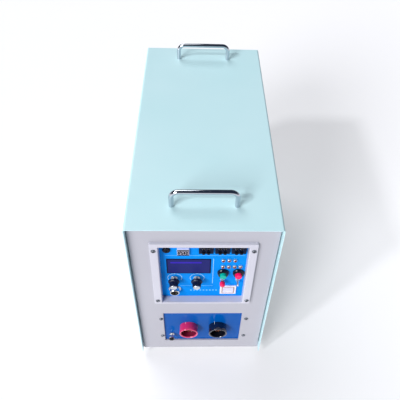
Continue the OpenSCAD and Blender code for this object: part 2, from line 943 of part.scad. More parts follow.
module control_plate() {
    color(plate_colour) centred() difference() {
        on_plate(0, 0) translate([0, 0, -plate_t]) linear_extrude(height = plate_t)
            square([plate_w, plate_h], center = true);
        on_plate(screen_x, screen_z) through_plate()
            square([screen_w + 2 * snug, screen_h + 2 * snug], center = true);
        on_plate(digit_x, digit_z) through_plate()
            square([digit_w - 2 * digit_step + 2 * snug, digit_h - 2 * digit_step + 2 * snug], center = true);
        dial_places() through_plate()
            square([dial_w - 2 * dial_step + 2 * snug, dial_h - 2 * dial_step + 2 * snug], center = true);
        knob_places() through_plate() circle(d = pot_bush_d + 2 * snug);
        on_plate(socket_x, socket_z) through_plate() circle(d = socket_thread_d + 2 * snug);
        on_plate(buzzer_x, buzzer_z) through_plate() circle(d = buzzer_neck_d + 2 * snug);
        lamp_places() through_plate() circle(d = lamp_tube_d + 2 * snug);
        push_places() through_plate() circle(d = push_tube_d + 2 * snug);
        toggle_places() through_plate() circle(d = toggle_bush_d + 2 * snug);
        on_plate(rocker_x, rocker_z) through_plate()
            square([
                rocker_frame_w - 2 * rocker_body_step + 2 * snug,
                rocker_frame_h - 2 * rocker_body_step + 2 * snug
            ], center = true);
    }
}

module screen_window() {
    color("#2A3270") centred() on_plate(screen_x, screen_z) {
        translate([0, 0, -plate_t]) linear_extrude(height = screen_t)
            square([screen_w, screen_h], center = true);
        translate([0, 0, -plate_t - screen_lip / 2]) linear_extrude(height = screen_lip / 2)
            square([screen_w + 2 * screen_lip, screen_h + 2 * screen_lip], center = true);
    }
}

module digit_display() {
    color(white_colour) centred() on_plate(digit_x, digit_z) {
        linear_extrude(height = digit_proud) round_rect(digit_w, digit_h, digit_case_r);
        translate([0, 0, -digit_back]) linear_extrude(height = digit_back)
            square([digit_w - 2 * digit_step, digit_h - 2 * digit_step], center = true);
    }
}

// A dial switch: a shell with two digits, each with a window and two button holes
module dial_case() {
    depth = dial_back + dial_proud - 2 * dial_wall;
    difference() {
        union() {
            linear_extrude(height = dial_proud) round_rect(dial_w, dial_h, dial_corner_r);
            translate([0, 0, -dial_back]) linear_extrude(height = dial_back)
                square([dial_w - 2 * dial_step, dial_h - 2 * dial_step], center = true);
        }
        translate([0, 0, dial_proud - dial_wall - depth / 2])
            cube([dial_inner_w, dial_inner_h, depth], center = true);
        for (x = [-1, 1]) translate([x * digit_pitch / 2, 0, dial_proud - dial_wall - cut])
            linear_extrude(height = dial_wall + 2 * cut) {
                square([dial_window_w, dial_window_h], center = true);
                for (z = [-1, 1]) translate([0, z * dial_button_z])
                    square([dial_button_w + 2 * loose, dial_button_h + 2 * loose], center = true);
            }
    }
}

module dial_switch_cases() {
    color(dark_colour) centred() dial_places() dial_case();
}

// The number wheels: each drum has a hub that meets the case's side or the other hub
module number_wheels() {
    drum_z = dial_proud - wheel_depth;
    color(white_colour) centred() dial_places() for (side = [-1, 1]) {
        translate([side * digit_pitch / 2, 0, drum_z]) rotate([0, 90, 0])
            cylinder(d = wheel_d, h = wheel_t, center = true);
        translate([side * dial_inner_w / 4, 0, drum_z]) rotate([0, 90, 0])
            cylinder(d = wheel_hub_d, h = dial_inner_w / 2, center = true);
    }
}

// A dial button with a crowned face and the lip that keeps it in its hole
module dial_button(dial, digit, row) {
    face = dial_proud + dial_button_proud;
    root = dial_proud - dial_wall - snug;
    color(black_colour) centred()
        on_plate(
            dial_first_x + dial * dial_pitch + digit * digit_pitch / 2,
            dial_z + row * dial_button_z
        ) {
            intersection() {
                translate([-dial_button_w / 2, -dial_button_h / 2, root])
                    cube([dial_button_w, dial_button_h, face - root]);
                translate([0, 0, face - dial_button_w]) rotate([90, 0, 0])
                    cylinder(r = dial_button_w, h = 2 * dial_button_h, center = true);
            }
            translate([-dial_button_w / 2 - dial_button_lip, -dial_button_h / 2, root - dial_button_lip])
                cube([dial_button_w + 2 * dial_button_lip, dial_button_h, dial_button_lip]);
        }
}

// Potentiometer: can behind the plate, threaded bush through it, washer and nut in front
module potentiometer() {
    difference() {
        union() {
            bar(-plate_t - pot_body_t, pot_body_d, pot_body_t);
            bar(-plate_t, pot_bush_d, plate_t + pot_bush_len);
            cylinder(d = pot_washer_d, h = pot_washer_t);
            hexagon(pot_washer_t, pot_nut_d, pot_nut_t);
        }
        translate([0, 0, -plate_t - pot_body_t / 2])
            cylinder(r = spindle_d / 2 + spindle_clear, h = plate_t + pot_body_t + pot_bush_len);
    }
}

module potentiometers() {
    color(chrome_colour) centred() knob_places() potentiometer();
}

// Fluted knob with a flared skirt and a metal cap, on its spindle
module control_knob() {
    skirt_z = knob_standoff;
    body_z = skirt_z + knob_skirt_t;
    face_z = knob_proud - knob_cap_t;
    difference() {
        rotate_extrude() polygon([
            [0, skirt_z], [knob_skirt_d / 2 - knob_edge_r, skirt_z],
            [knob_skirt_d / 2, skirt_z + knob_edge_r], [knob_skirt_d / 2, body_z - knob_edge_r],
            [knob_body_d / 2, body_z], [knob_body_d / 2 - knob_edge_r / 2, face_z - knob_edge_r],
            [knob_body_d / 2 - 1.5 * knob_edge_r, face_z], [0, face_z]
        ]);
        for (i = [0 : knob_flutes - 1]) rotate([0, 0, i * 360 / knob_flutes])
            translate([knob_body_d / 2 + knob_flute_r / 2, 0, body_z])
                cylinder(r = knob_flute_r, h = knob_proud);
        bar(knob_standoff - cut, pot_nut_d + knob_edge_r, cut + knob_skirt_t / 2);
    }
    translate([0, 0, face_z]) cylinder(d1 = knob_cap_d, d2 = knob_cap_d - knob_edge_r, h = knob_cap_t);
    bar(-plate_t - pot_body_t / 2 + loose, spindle_d, plate_t + pot_body_t / 2 - loose + body_z);
}

module left_knob() {
    color(dark_colour) centred() on_plate(knob_left_x, knob_z) control_knob();
}

module right_knob() {
    color(dark_colour) centred() on_plate(knob_right_x, knob_z) control_knob();
}

module foot_switch_socket() {
    color(chrome_colour) centred() on_plate(socket_x, socket_z) difference() {
        rotate_extrude() polygon([
            [0, -socket_back], [socket_thread_d / 2, -socket_back], [socket_thread_d / 2, 0],
            [socket_flange_d / 2, 0], [socket_flange_d / 2, socket_flange_t - socket_edge],
            [socket_flange_d / 2 - socket_edge, socket_flange_t], [socket_d / 2, socket_flange_t],
            [socket_d / 2, socket_proud - socket_edge], [socket_d / 2 - socket_edge, socket_proud],
            [0, socket_proud]
        ]);
        bar(socket_proud - socket_mouth, socket_bore_d, socket_mouth + cut);
        bar(socket_floor - socket_back, insert_d, socket_proud + socket_back - socket_floor);
    }
}

module socket_insert() {
    top = socket_proud - socket_mouth;
    color(black_colour) centred() on_plate(socket_x, socket_z) difference() {
        bar(socket_floor - socket_back, insert_d, top + socket_back - socket_floor);
        for (i = [0 : insert_holes - 1]) rotate([0, 0, 45 + i * 360 / insert_holes])
            translate([insert_ring_r, 0, top - insert_hole_depth])
                cylinder(d = insert_hole_d, h = insert_hole_depth + cut);
    }
}

module alarm_buzzer() {
    color(black_colour) centred() on_plate(buzzer_x, buzzer_z) difference() {
        rotate_extrude() polygon([
            [0, -buzzer_back], [buzzer_neck_d / 2, -buzzer_back], [buzzer_neck_d / 2, 0], [buzzer_d / 2, 0],
            [buzzer_d / 2, buzzer_proud - buzzer_edge], [buzzer_d / 2 - buzzer_edge, buzzer_proud],
            [0, buzzer_proud]
        ]);
        bar(buzzer_proud / 2, buzzer_hole_d, buzzer_proud);
    }
}

module lamp_bezels() {
    color(chrome_colour) centred() lamp_places() difference() {
        rotate_extrude() polygon([
            [0, -lamp_tube_len], [lamp_tube_d / 2, -lamp_tube_len], [lamp_tube_d / 2, 0],
            [lamp_bezel_d / 2, 0], [lamp_bezel_d / 2, lamp_flange_t / 2],
            [lamp_tube_d / 2, lamp_flange_t], [0, lamp_flange_t]
        ]);
        bar(-lamp_tube_len - cut, lamp_lens_d, lamp_tube_len + lamp_flange_t + 2 * cut);
    }
}

module lamp_lenses() {
    color(red_colour) centred() lamp_places() {
        dome_r = lamp_lens_d / 2;
        translate([0, 0, -lamp_tube_len]) cylinder(r = dome_r, h = lamp_tube_len + lamp_lens_out - dome_r);
        translate([0, 0, lamp_lens_out - dome_r]) intersection() {
            sphere(dome_r);
            cylinder(r = dome_r, h = dome_r);
        }
    }
}

// Push switch: ring in front, threaded tube, nut and contact block behind
module push_body() {
    bore = push_cap_d + 2 * loose;
    difference() {
        union() {
            rotate_extrude() polygon([
                [0, -plate_t - push_nut_t], [push_tube_d / 2, -plate_t - push_nut_t], [push_tube_d / 2, 0],
                [push_ring_d / 2, 0], [push_ring_d / 2, push_ring_t - push_ring_edge],
                [push_ring_d / 2 - push_ring_edge, push_ring_t], [0, push_ring_t]
            ]);
            hexagon(-plate_t - push_nut_t, push_nut_d, push_nut_t);
            translate([0, 0, -plate_t - push_nut_t - push_body_t / 2])
                cube([push_body_side, push_body_side, push_body_t], center = true);
        }
        bar(-push_stem_len, bore, push_stem_len + push_ring_t + cut);
    }
}

module push_switch_bodies() {
    color(black_colour) centred() push_places() push_body();
}

module push_cap() {
    rotate_extrude() polygon([
        [0, push_travel + loose - push_stem_len], [push_cap_d / 2, push_travel + loose - push_stem_len],
        [push_cap_d / 2, push_cap_proud - push_cap_edge],
        [push_cap_d / 2 - push_cap_edge, push_cap_proud - push_cap_edge * 0.3],
        [push_cap_d / 4, push_cap_proud], [0, push_cap_proud]
    ]);
}

module start_button() {
    color(green_colour) centred() on_plate(push_left_x, push_z) push_cap();
}

module stop_button() {
    color(red_colour) centred() on_plate(push_right_x, push_z) push_cap();
}

// Toggle switch: bush and nut in front, body with a cavity for the lever's root behind
module toggle_body() {
    difference() {
        union() {
            translate([0, 0, -plate_t - toggle_body_t / 2])
                cube([toggle_body_w, toggle_body_h, toggle_body_t], center = true);
            bar(-plate_t, toggle_bush_d, plate_t + toggle_bush_len);
            cylinder(d = toggle_nut_d, h = toggle_nut_t, $fn = 6);
        }
        bar(-plate_t - cut, toggle_bush_bore_d, plate_t + toggle_bush_len + 2 * cut);
        translate([0, 0, -plate_t - toggle_cavity / 2]) cube([
            toggle_bush_bore_d, toggle_body_h - 2 * sheet_t, toggle_cavity
        ], center = true);
    }
}

module toggle_switch_bodies() {
    color(chrome_colour) centred() toggle_places() toggle_body();
}

// A bat lever pointing out from its pivot, with its ball and round tip
module bat_lever() {
    rotate_extrude() polygon([
        [0, 0], [lever_root_d / 2, 0],
        [lever_tip_d / 2, lever_len - lever_tip_d / 2], [0, lever_len - lever_tip_d / 2]
    ]);
    translate([0, 0, lever_len - lever_tip_d / 2]) sphere(d = lever_tip_d);
    sphere(d = lever_ball_d);
}

module at_lever(x) {
    on_plate(x, toggle_z) translate([0, 0, toggle_pivot]) rotate([lever_tilt, 0, 0]) children();
}

module left_toggle_lever() {
    color(white_colour) centred() at_lever(toggle_left_x) bat_lever();
}

module right_toggle_lever() {
    color(white_colour) centred() at_lever(toggle_right_x) bat_lever();
}

// The soft cap over the left lever, hollow to the lever's own taper
module left_lever_sleeve() {
    foot = lever_len - sleeve_len + lever_tip_d / 4;
    top = lever_len + lever_tip_d / 4;
    color(red_colour) centred() at_lever(toggle_left_x) difference() {
        rotate_extrude() polygon([
            [0, foot], [sleeve_root_d / 2, foot], [sleeve_d / 2, foot + sleeve_d / 4],
            [sleeve_d / 2, top - sleeve_d / 5], [sleeve_d / 3, top], [0, top]
        ]);
        bat_lever();
    }
}

module power_switch_frame() {
    arc_r = rocker_h / 2 + loose;
    color(white_colour) centred() on_plate(rocker_x, rocker_z) difference() {
        union() {
            linear_extrude(height = rocker_frame_proud)
                round_rect(rocker_frame_w, rocker_frame_h, rocker_corner_r);
            translate([0, 0, -rocker_body_t / 2]) cube([
                rocker_frame_w - 2 * rocker_body_step, rocker_frame_h - 2 * rocker_body_step, rocker_body_t
            ], center = true);
        }
        translate([0, 0, rocker_frame_proud - rocker_pivot]) {
            rotate([0, 90, 0]) cylinder(r = arc_r, h = rocker_w + 2 * loose, center = true);
            translate([0, 0, rocker_pivot])
                cube([rocker_w + 2 * loose, 2 * arc_r, 2 * rocker_pivot], center = true);
            rotate([0, 90, 0])
                cylinder(r = rocker_pin_d / 2 + spindle_clear, h = rocker_w + 2 * rocker_wall, center = true);
        }
    }
}

// The rocker: its ends are arcs about the pin, and its face is a shallow V
module power_rocker() {
    color(white_colour) centred() on_plate(rocker_x, rocker_z)
        translate([0, 0, rocker_frame_proud - rocker_pivot]) rotate([rocker_tilt, 0, 0]) {
            rotate([0, 90, 0]) intersection() {
                cylinder(r = rocker_h / 2, h = rocker_w, center = true);
                linear_extrude(height = rocker_w, center = true) polygon([
                    [rocker_pivot, -rocker_h], [rocker_pivot, rocker_h],
                    [-rocker_pivot - rocker_h * tan(rocker_slope), rocker_h], [-rocker_pivot, 0],
                    [-rocker_pivot - rocker_h * tan(rocker_slope), -rocker_h]
                ]);
            }
            rotate([0, 90, 0])
                cylinder(d = rocker_pin_d, h = rocker_w + 2 * rocker_wall - 2 * snug, center = true);
        }
}

module terminal_places() {
    for (x = [-1, 1]) on_output(terminal_mid_x + x * terminal_pitch / 2, terminal_z) children();
}

module output_plate() {
    left = window_offset - window_w / 2 - output_overlap_left;
    right = window_offset + window_w / 2 + output_overlap_right;
    color(plate_colour) centred() difference() {
        translate([left, output_y, window_z - window_h / 2 - output_overlap_z])
            cube([right - left, output_plate_t, window_h + 2 * output_overlap_z]);
        terminal_places() bar(-output_plate_t - cut, terminal_thread_d + 2 * snug, output_plate_t + 2 * cut);
        on_output(earth_x, earth_z)
            bar(-output_plate_t - cut, earth_stem_d + 2 * snug, output_plate_t + 2 * cut);
        window_screw_places()
            bar(-window_depth - output_plate_t - cut, screw_d + 2 * snug,
                output_plate_t + window_depth + cut);
    }
}

// Insulating terminal: an open cup in front, a threaded neck and its nut behind
module terminal_cup() {
    neck = output_plate_t + terminal_nut_t;
    difference() {
        union() {
            rotate_extrude() polygon([
                [0, 0], [terminal_d / 2, 0], [terminal_d / 2, terminal_proud - terminal_edge_r],
                [terminal_d / 2 - terminal_edge_r * 0.3, terminal_proud - terminal_edge_r * 0.3],
                [terminal_d / 2 - terminal_edge_r, terminal_proud], [0, terminal_proud]
            ]);
            bar(-neck, terminal_thread_d, neck);
            hexagon(-neck, terminal_nut_d, terminal_nut_t);
        }
        bar(terminal_base_t, terminal_bore_d, terminal_proud);
        translate([0, 0, terminal_proud - terminal_edge_r])
            cylinder(
                d1 = terminal_bore_d, d2 = terminal_bore_d + 2 * terminal_edge_r, h = terminal_edge_r + snug
            );
        bar(-neck - cut, union_d + 2 * snug, neck + terminal_base_t + 2 * cut);
    }
}

module red_terminal() {
    color(red_colour) centred() on_output(terminal_mid_x - terminal_pitch / 2, terminal_z) terminal_cup();
}

module black_terminal() {
    color(black_colour) centred() on_output(terminal_mid_x + terminal_pitch / 2, terminal_z) terminal_cup();
}

// Copper unions that carry the current and the cooling water to the work coil
module output_unions() {
    back = -output_plate_t - terminal_nut_t - union_back;
    color(copper_colour) centred() terminal_places() difference() {
        union() {
            bar(back, union_d, union_proud - back);
            hexagon(terminal_base_t, union_collar_d, union_collar_t);
            hexagon(-output_plate_t - terminal_nut_t - union_collar_t, union_collar_d, union_collar_t);
        }
        bar(back - cut, union_bore_d, union_proud - back + 2 * cut);
    }
}

module earth_post() {
    back = output_plate_t + earth_back;
    color(chrome_colour) centred() on_output(earth_x, earth_z) difference() {
        union() {
            bar(-back, earth_stem_d, back + earth_proud - earth_nut_t);
            cylinder(d = earth_base_d, h = earth_base_t, $fn = 6);
            hexagon(-output_plate_t - earth_base_t, earth_base_d, earth_base_t);
            bar(earth_proud - earth_nut_t, earth_nut_d, earth_nut_t);
        }
        for (i = [0 : earth_knurls - 1]) rotate([0, 0, i * 360 / earth_knurls])
            translate([earth_nut_d / 2, 0, earth_proud - earth_nut_t - cut])
                cylinder(r = earth_knurl_r, h = earth_nut_t + 2 * cut, $fn = 16);
        hexagon(earth_proud - earth_socket_depth, earth_socket_d, earth_socket_depth + cut);
    }
}

// Rear fan: square frame with a round duct, four struts, a motor plate and its shaft
module fan_frame() {
    inside = rear_y - sheet_t;
    color(black_colour) centred() at_rear(0, inside, fan_z) {
        difference() {
            union() {
                for (z = [-fan_flange_t, -fan_depth]) translate([0, 0, z])
                    linear_extrude(height = fan_flange_t)
                        round_rect(fan_size, fan_size, fan_flange_t);
                bar(-fan_depth, fan_bore_d + fan_plate_t, fan_depth);
            }
            bar(-fan_depth - cut, fan_bore_d, fan_depth + 2 * cut);
            for (x = [-1, 1], y = [-1, 1])
                translate([x * fan_hole_pitch / 2, y * fan_hole_pitch / 2, -fan_depth - cut])
                    cylinder(d = fan_hole_d, h = fan_depth + 2 * cut);
        }
        translate([0, 0, -fan_depth]) {
            cylinder(d = fan_hub_d, h = fan_plate_t);
            cylinder(d = fan_shaft_d, h = fan_shaft_len);
            for (i = [0 : 3]) rotate([0, 0, 45 + 90 * i])
                translate([fan_hub_d / 2 - cut, -fan_strut_w / 2, 0])
                    cube([(fan_bore_d - fan_hub_d) / 2 + cut + fan_plate_t / 2, fan_strut_w, fan_plate_t]);
        }
    }
}

// Fan blade: a curved strip along the radius, set at an angle to the shaft
module fan_blade(chord) {
    rotate([0, 90, 0]) linear_extrude(height = fan_bore_d / 2) rotate([0, 0, fan_blade_pitch])
        intersection() {
            translate([0, -fan_blade_curve_r]) difference() {
                circle(fan_blade_curve_r + fan_blade_t);
                circle(fan_blade_curve_r);
            }
            square([chord, 2 * chord], center = true);
        }
}

// Rotor: a hub that runs on the frame's shaft, with curved blades
module fan_rotor() {
    low = -fan_depth + fan_plate_t + fan_hub_gap;
    tall = fan_depth - fan_plate_t - 2 * fan_hub_gap;
    chord = tall * fan_blade_share / cos(fan_blade_pitch);
    color(dark_colour) centred() at_rear(0, rear_y - sheet_t, fan_z) translate([0, 0, low]) difference() {
        union() {
            cylinder(d = fan_hub_d, h = tall);
            intersection() {
                cylinder(d = fan_bore_d - 2 * fan_tip_gap, h = tall);
                for (i = [0 : fan_blades - 1]) rotate([0, 0, i * 360 / fan_blades])
                    translate([0, 0, tall / 2]) fan_blade(chord);
            }
        }
        bar(-cut, fan_shaft_d + 2 * spindle_clear, fan_shaft_len - fan_plate_t + cut);
    }
}

// Wire guard on the rear panel: rings, two crossing wires on bosses and a middle disc
module fan_guard() {
    step = (fan_bore_d / 2) / (guard_rings + 0.5);
    reach = fan_hole_pitch / sqrt(2) - guard_boss_d / 3;
    color(chrome_colour) centred() at_rear(0, rear_y, fan_z) {
        for (i = [1 : guard_rings]) translate([0, 0, guard_lift + guard_wire / 2])
            rotate_extrude() translate([i * step, 0]) circle(d = guard_wire, $fn = 16);
        for (i = [0, 1]) rotate([0, 0, 45 + 90 * i]) translate([0, 0, guard_lift - guard_wire / 4])
            rotate([0, 90, 0]) cylinder(d = guard_wire, h = 2 * reach, center = true, $fn = 16);
        for (x = [-1, 1], y = [-1, 1]) translate([x * fan_hole_pitch / 2, y * fan_hole_pitch / 2, 0])
            difference() {
                cylinder(d = guard_boss_d, h = guard_lift + guard_wire);
                bar(-cut, screw_d + 2 * snug, guard_lift + guard_wire + 2 * cut);
            }
    }
}

module nipple_places() {
    for (x = [-1, 1]) at_rear(x * nipple_pitch / 2, rear_y, foot_h + nipple_rise) children();
}

// Brass nipple: hexagon on the panel, barbed tail outside and a plain tail inside
module water_nipple() {
    barb = nipple_tail / nipple_barbs;
    inner = sheet_t + nipple_inner;
    difference() {
        union() {
            cylinder(d = nipple_hex_d, h = nipple_hex_t, $fn = 6);
            bar(-inner, nipple_d, inner);
            for (i = [0 : nipple_barbs - 1]) translate([0, 0, nipple_hex_t + i * barb])
                cylinder(d1 = nipple_d + 2 * nipple_barb_r, d2 = nipple_d - nipple_barb_r, h = barb);
        }
        bar(-inner - cut, nipple_bore_d, inner + nipple_hex_t + nipple_tail + 2 * cut);
    }
}

module water_nipples() {
    color(brass_colour) centred() nipple_places() water_nipple();
}

module gland_place() {
    at_rear(-gland_x, rear_y, foot_h + gland_rise) children();
}

module cable_gland() {
    inner = sheet_t + gland_inner;
    color(black_colour) centred() gland_place() difference() {
        union() {
            bar(-inner, gland_thread_d, inner);
            hexagon(-sheet_t - gland_nut_t, gland_hex_d, gland_nut_t);
            cylinder(d = gland_hex_d, h = gland_hex_t, $fn = 6);
            translate([0, 0, gland_hex_t]) rotate_extrude() polygon([
                [0, 0], [gland_dome_d / 2, 0], [gland_dome_d / 2, gland_dome_len - 2 * gland_lip_r],
                [gland_dome_d / 2 - gland_lip_r / 2, gland_dome_len - gland_lip_r],
                [gland_dome_d / 2 - gland_lip_r, gland_dome_len], [0, gland_dome_len]
            ]);
        }
        bar(-inner - cut, gland_bore_d, inner + gland_hex_t + gland_dome_len + 2 * cut);
    }
}

// Inside the cabinet: the output transformer stands behind the terminals
core_window = (core_w - core_mid_leg - 2 * core_leg) / 2;
winding_t = core_window - 2 * winding_gap;
union_end = output_y + output_plate_t + terminal_nut_t + union_back;
core_x = window_offset + terminal_mid_x;
core_y = union_end + bus_t + winding_t + winding_gap + core_d / 2;
cap_y = core_y + core_d / 2 + winding_gap + winding_t + cap_gap + cap_rows * cap_pitch / 2;
core_z = window_z + terminal_z - core_h / 2;

module transformer_core() {
    color("#3C3F46") centred() translate([core_x, core_y, core_z]) {
        difference() {
            translate([-core_w / 2, -core_d / 2, 0]) cube([core_w, core_d, core_h]);
            for (x = [-1, 1]) translate([x * (core_mid_leg + core_window) / 2, 0, core_h / 2])
                cube([core_window, core_d + 2 * cut, core_h - 2 * core_leg], center = true);
        }
        for (x = [-1, 1])
            translate([x * (core_w - core_foot_w) / 2 - core_foot_w / 2, -core_d / 2, floor_z - core_z])
            cube([core_foot_w, core_d, core_z - floor_z]);
    }
}

// Copper turns round the core's middle leg, and the two bus blocks that meet the unions
module transformer_winding() {
    tall = core_h - 2 * core_leg - 2 * winding_gap;
    inner_wide = core_mid_leg + 2 * winding_gap;
    inner_deep = core_d + 2 * winding_gap;
    turn = tall / winding_turns;
    color(copper_colour) centred() {
        translate([core_x, core_y, window_z + terminal_z]) for (i = [0 : winding_turns - 1])
            translate([0, 0, -tall / 2 + i * turn]) linear_extrude(height = turn) difference() {
                grow = i % 2 == 0 ? 0 : winding_groove / 2;
                square(
                    [inner_wide + 2 * winding_t - 2 * grow, inner_deep + 2 * winding_t - 2 * grow],
                    center = true
                );
                square([inner_wide, inner_deep], center = true);
            }
        for (x = [-1, 1])
            translate([
                core_x + x * terminal_pitch / 2 - bus_w / 2, union_end, window_z + terminal_z - bus_h / 2
            ])
                cube([bus_w, bus_t, bus_h]);
    }
}

module capacitor_places() {
    for (i = [0 : cap_cols - 1], j = [0 : cap_rows - 1])
        translate([
            (i - (cap_cols - 1) / 2) * cap_pitch, cap_y + (j - (cap_rows - 1) / 2) * cap_pitch, floor_z
        ])
            children();
}

module capacitor_bank() {
    color("#D8D2C0") centred() {
        translate([-cap_cols * cap_pitch / 2, cap_y - cap_rows * cap_pitch / 2, floor_z])
            cube([cap_cols * cap_pitch, cap_rows * cap_pitch, cap_base_t]);
        capacitor_places() {
            cylinder(d = cap_d, h = cap_base_t + cap_h);
            cylinder(d = cap_stud_d, h = cap_base_t + cap_h + cap_stud_h);
        }
        for (j = [0 : cap_rows - 1])
            translate([
                -(cap_cols - 1) * cap_pitch / 2 - cap_stud_d,
                cap_y + (j - (cap_rows - 1) / 2) * cap_pitch - cap_stud_d,
                floor_z + cap_base_t + cap_h + cap_stud_h - cap_bus_t
            ]) cube([(cap_cols - 1) * cap_pitch + 2 * cap_stud_d, 2 * cap_stud_d, cap_bus_t]);
    }
}

module heat_sink() {
    fin_step = (sink_w - sink_fin_t) / (sink_fins - 1);
    color("#AEB4BC") centred() translate([-sink_w / 2, sink_y - sink_d / 2, floor_z]) {
        translate([0, 0, sink_fin_h]) cube([sink_w, sink_d, sink_plate_t]);
        for (i = [0 : sink_fins - 1]) translate([i * fin_step, 0, 0]) cube([sink_fin_t, sink_d, sink_fin_h]);
    }
}

sink_top_z = floor_z + sink_fin_h + sink_plate_t;

module power_modules() {
    color(white_colour) centred() for (i = [0 : module_count - 1])
        translate([(i - (module_count - 1) / 2) * module_pitch, sink_y, sink_top_z]) {
            translate([-module_w / 2, -module_d / 2, 0]) cube([module_w, module_d, module_h]);
            for (y = [-1, 1]) translate([0, y * module_d / 4, 0])
                cylinder(d = module_post_d, h = module_h + module_post_h);
        }
}

// Control board behind the control plate and driver board over the power modules
module circuit_boards() {
    board_w = plate_w - 2 * board_margin;
    board_h = plate_h - 2 * board_margin;
    board_y = plate_y + plate_t + board_gap;
    power_z = sink_top_z + power_board_rise;
    color(board_colour) centred() {
        translate([-board_w / 2, board_y, opening_z - board_h / 2]) cube([board_w, board_t, board_h]);
        for (x = [-1, 1], z = [-1, 1])
            at_front(x * (board_w - standoff_d) / 2, board_y, opening_z + z * (board_h - standoff_d) / 2)
                cylinder(d = standoff_d, h = board_gap);
        for (i = [0 : 3], j = [0 : 2])
            translate([
                -board_w / 3 + i * board_w / 5, board_y + board_t, opening_z - board_h / 3 + j * board_h / 4
            ])
                cube([chip_w, chip_h, chip_d]);
        translate([-power_board_w / 2, sink_y - power_board_d / 2, power_z])
            cube([power_board_w, power_board_d, board_t]);
        for (x = [-1, 1], y = [-1, 1])
            translate([
                x * (power_board_w - standoff_d) / 2,
                sink_y + y * (power_board_d - standoff_d) / 2,
                sink_top_z
            ]) cylinder(d = standoff_d, h = power_board_rise);
        for (i = [0 : 3])
            translate([(i - 1.5) * power_board_w / 5, sink_y + power_board_d / 4, power_z + board_t])
                cylinder(d = can_d, h = can_h);
        for (i = [0 : 2])
            translate([
                (i - 1) * power_board_w / 4 - chip_w / 2, sink_y - power_board_d / 4, power_z + board_t
            ])
                cube([chip_w, chip_d, chip_h]);
    }
}

// Water hoses from the nipples forward to the outer sides of the bus blocks
module cooling_hoses() {
    start_y = rear_y - sheet_t - nipple_inner;
    bus_y = union_end + bus_t / 2;
    hose_z = foot_h + nipple_rise;
    straight = start_y - bus_y - hose_bend_r;
    color("#7A8FA8") centred() for (side = [-1, 1]) {
        bus_side = side * core_x + terminal_pitch / 2 + bus_w / 2;
        mirror([side < 0 ? 1 : 0, 0, 0]) {
            translate([nipple_pitch / 2, start_y, hose_z]) rotate([90, 0, 0]) hose_pipe(straight);
            translate([nipple_pitch / 2 - hose_bend_r, bus_y + hose_bend_r, hose_z]) rotate([0, 0, -90])
                rotate_extrude(angle = 90) translate([hose_bend_r, 0]) difference() {
                    circle(d = hose_d);
                    circle(d = hose_bore_d);
                }
            translate([nipple_pitch / 2 - hose_bend_r, bus_y, hose_z]) rotate([0, -90, 0])
                hose_pipe(nipple_pitch / 2 - hose_bend_r - bus_side);
        }
    }
}

module hose_pipe(len) {
    difference() {
        cylinder(d = hose_d, h = len);
        bar(-cut, hose_bore_d, len + 2 * cut);
    }
}

cover();
base_tray();
front_panel();
rear_panel();
rubber_feet();
machine_screws();
front_handle();
rear_handle();
bezel_frame();
control_plate();
screen_window();
digit_display();
dial_switch_cases();
number_wheels();
dial_button(0, -1, 1);  // dial_1_tens_plus
dial_button(0, -1, -1);  // dial_1_tens_minus
dial_button(0, 1, 1);  // dial_1_units_plus
dial_button(0, 1, -1);  // dial_1_units_minus
dial_button(1, -1, 1);  // dial_2_tens_plus
dial_button(1, -1, -1);  // dial_2_tens_minus
dial_button(1, 1, 1);  // dial_2_units_plus
dial_button(1, 1, -1);  // dial_2_units_minus
dial_button(2, -1, 1);  // dial_3_tens_plus
dial_button(2, -1, -1);  // dial_3_tens_minus
dial_button(2, 1, 1);  // dial_3_units_plus
dial_button(2, 1, -1);  // dial_3_units_minus
potentiometers();
left_knob();
right_knob();
foot_switch_socket();
socket_insert();
alarm_buzzer();
lamp_bezels();
lamp_lenses();
push_switch_bodies();
start_button();
stop_button();
toggle_switch_bodies();
left_toggle_lever();
left_lever_sleeve();
right_toggle_lever();
power_switch_frame();
power_rocker();
output_plate();
red_terminal();
black_terminal();
output_unions();
earth_post();
fan_frame();
fan_rotor();
fan_guard();
water_nipples();
cable_gland();
transformer_core();
transformer_winding();
capacitor_bank();
heat_sink();
power_modules();
circuit_boards();
cooling_hoses();
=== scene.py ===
"""Dresses the induction heating machine.

It adds the paints, platings and plastics, and the small parts that the solids leave out.
"""

import json
import logging
import math
from dataclasses import dataclass
from enum import Enum
from itertools import product
from typing import Iterable, Sequence

import bmesh
import bpy
from mathutils import Matrix, Vector


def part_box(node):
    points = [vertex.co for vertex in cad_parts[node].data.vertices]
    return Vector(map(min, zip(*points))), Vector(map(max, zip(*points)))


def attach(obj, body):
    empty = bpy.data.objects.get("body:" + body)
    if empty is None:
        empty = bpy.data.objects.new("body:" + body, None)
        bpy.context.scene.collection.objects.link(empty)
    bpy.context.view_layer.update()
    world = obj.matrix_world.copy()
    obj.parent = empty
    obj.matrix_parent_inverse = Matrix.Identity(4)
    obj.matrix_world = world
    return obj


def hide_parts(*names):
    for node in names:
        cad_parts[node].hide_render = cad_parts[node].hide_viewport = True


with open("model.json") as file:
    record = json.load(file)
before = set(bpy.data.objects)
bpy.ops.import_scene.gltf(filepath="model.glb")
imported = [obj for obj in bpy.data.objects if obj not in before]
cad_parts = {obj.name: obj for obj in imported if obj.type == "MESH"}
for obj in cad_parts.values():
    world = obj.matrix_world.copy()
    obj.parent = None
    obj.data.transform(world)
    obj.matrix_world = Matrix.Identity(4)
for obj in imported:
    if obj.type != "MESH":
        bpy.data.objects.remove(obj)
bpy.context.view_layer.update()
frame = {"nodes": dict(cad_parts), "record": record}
MM = 0.001
INK = 0.04  # thickness of a printed line in millimetres
ON_AXIS = 1e-6  # a radius below this is a point on the axis
Tree = bpy.types.NodeTree
Node = bpy.types.Node
Socket = bpy.types.NodeSocket
Piece = bpy.types.Object
log = logging.getLogger("machine")
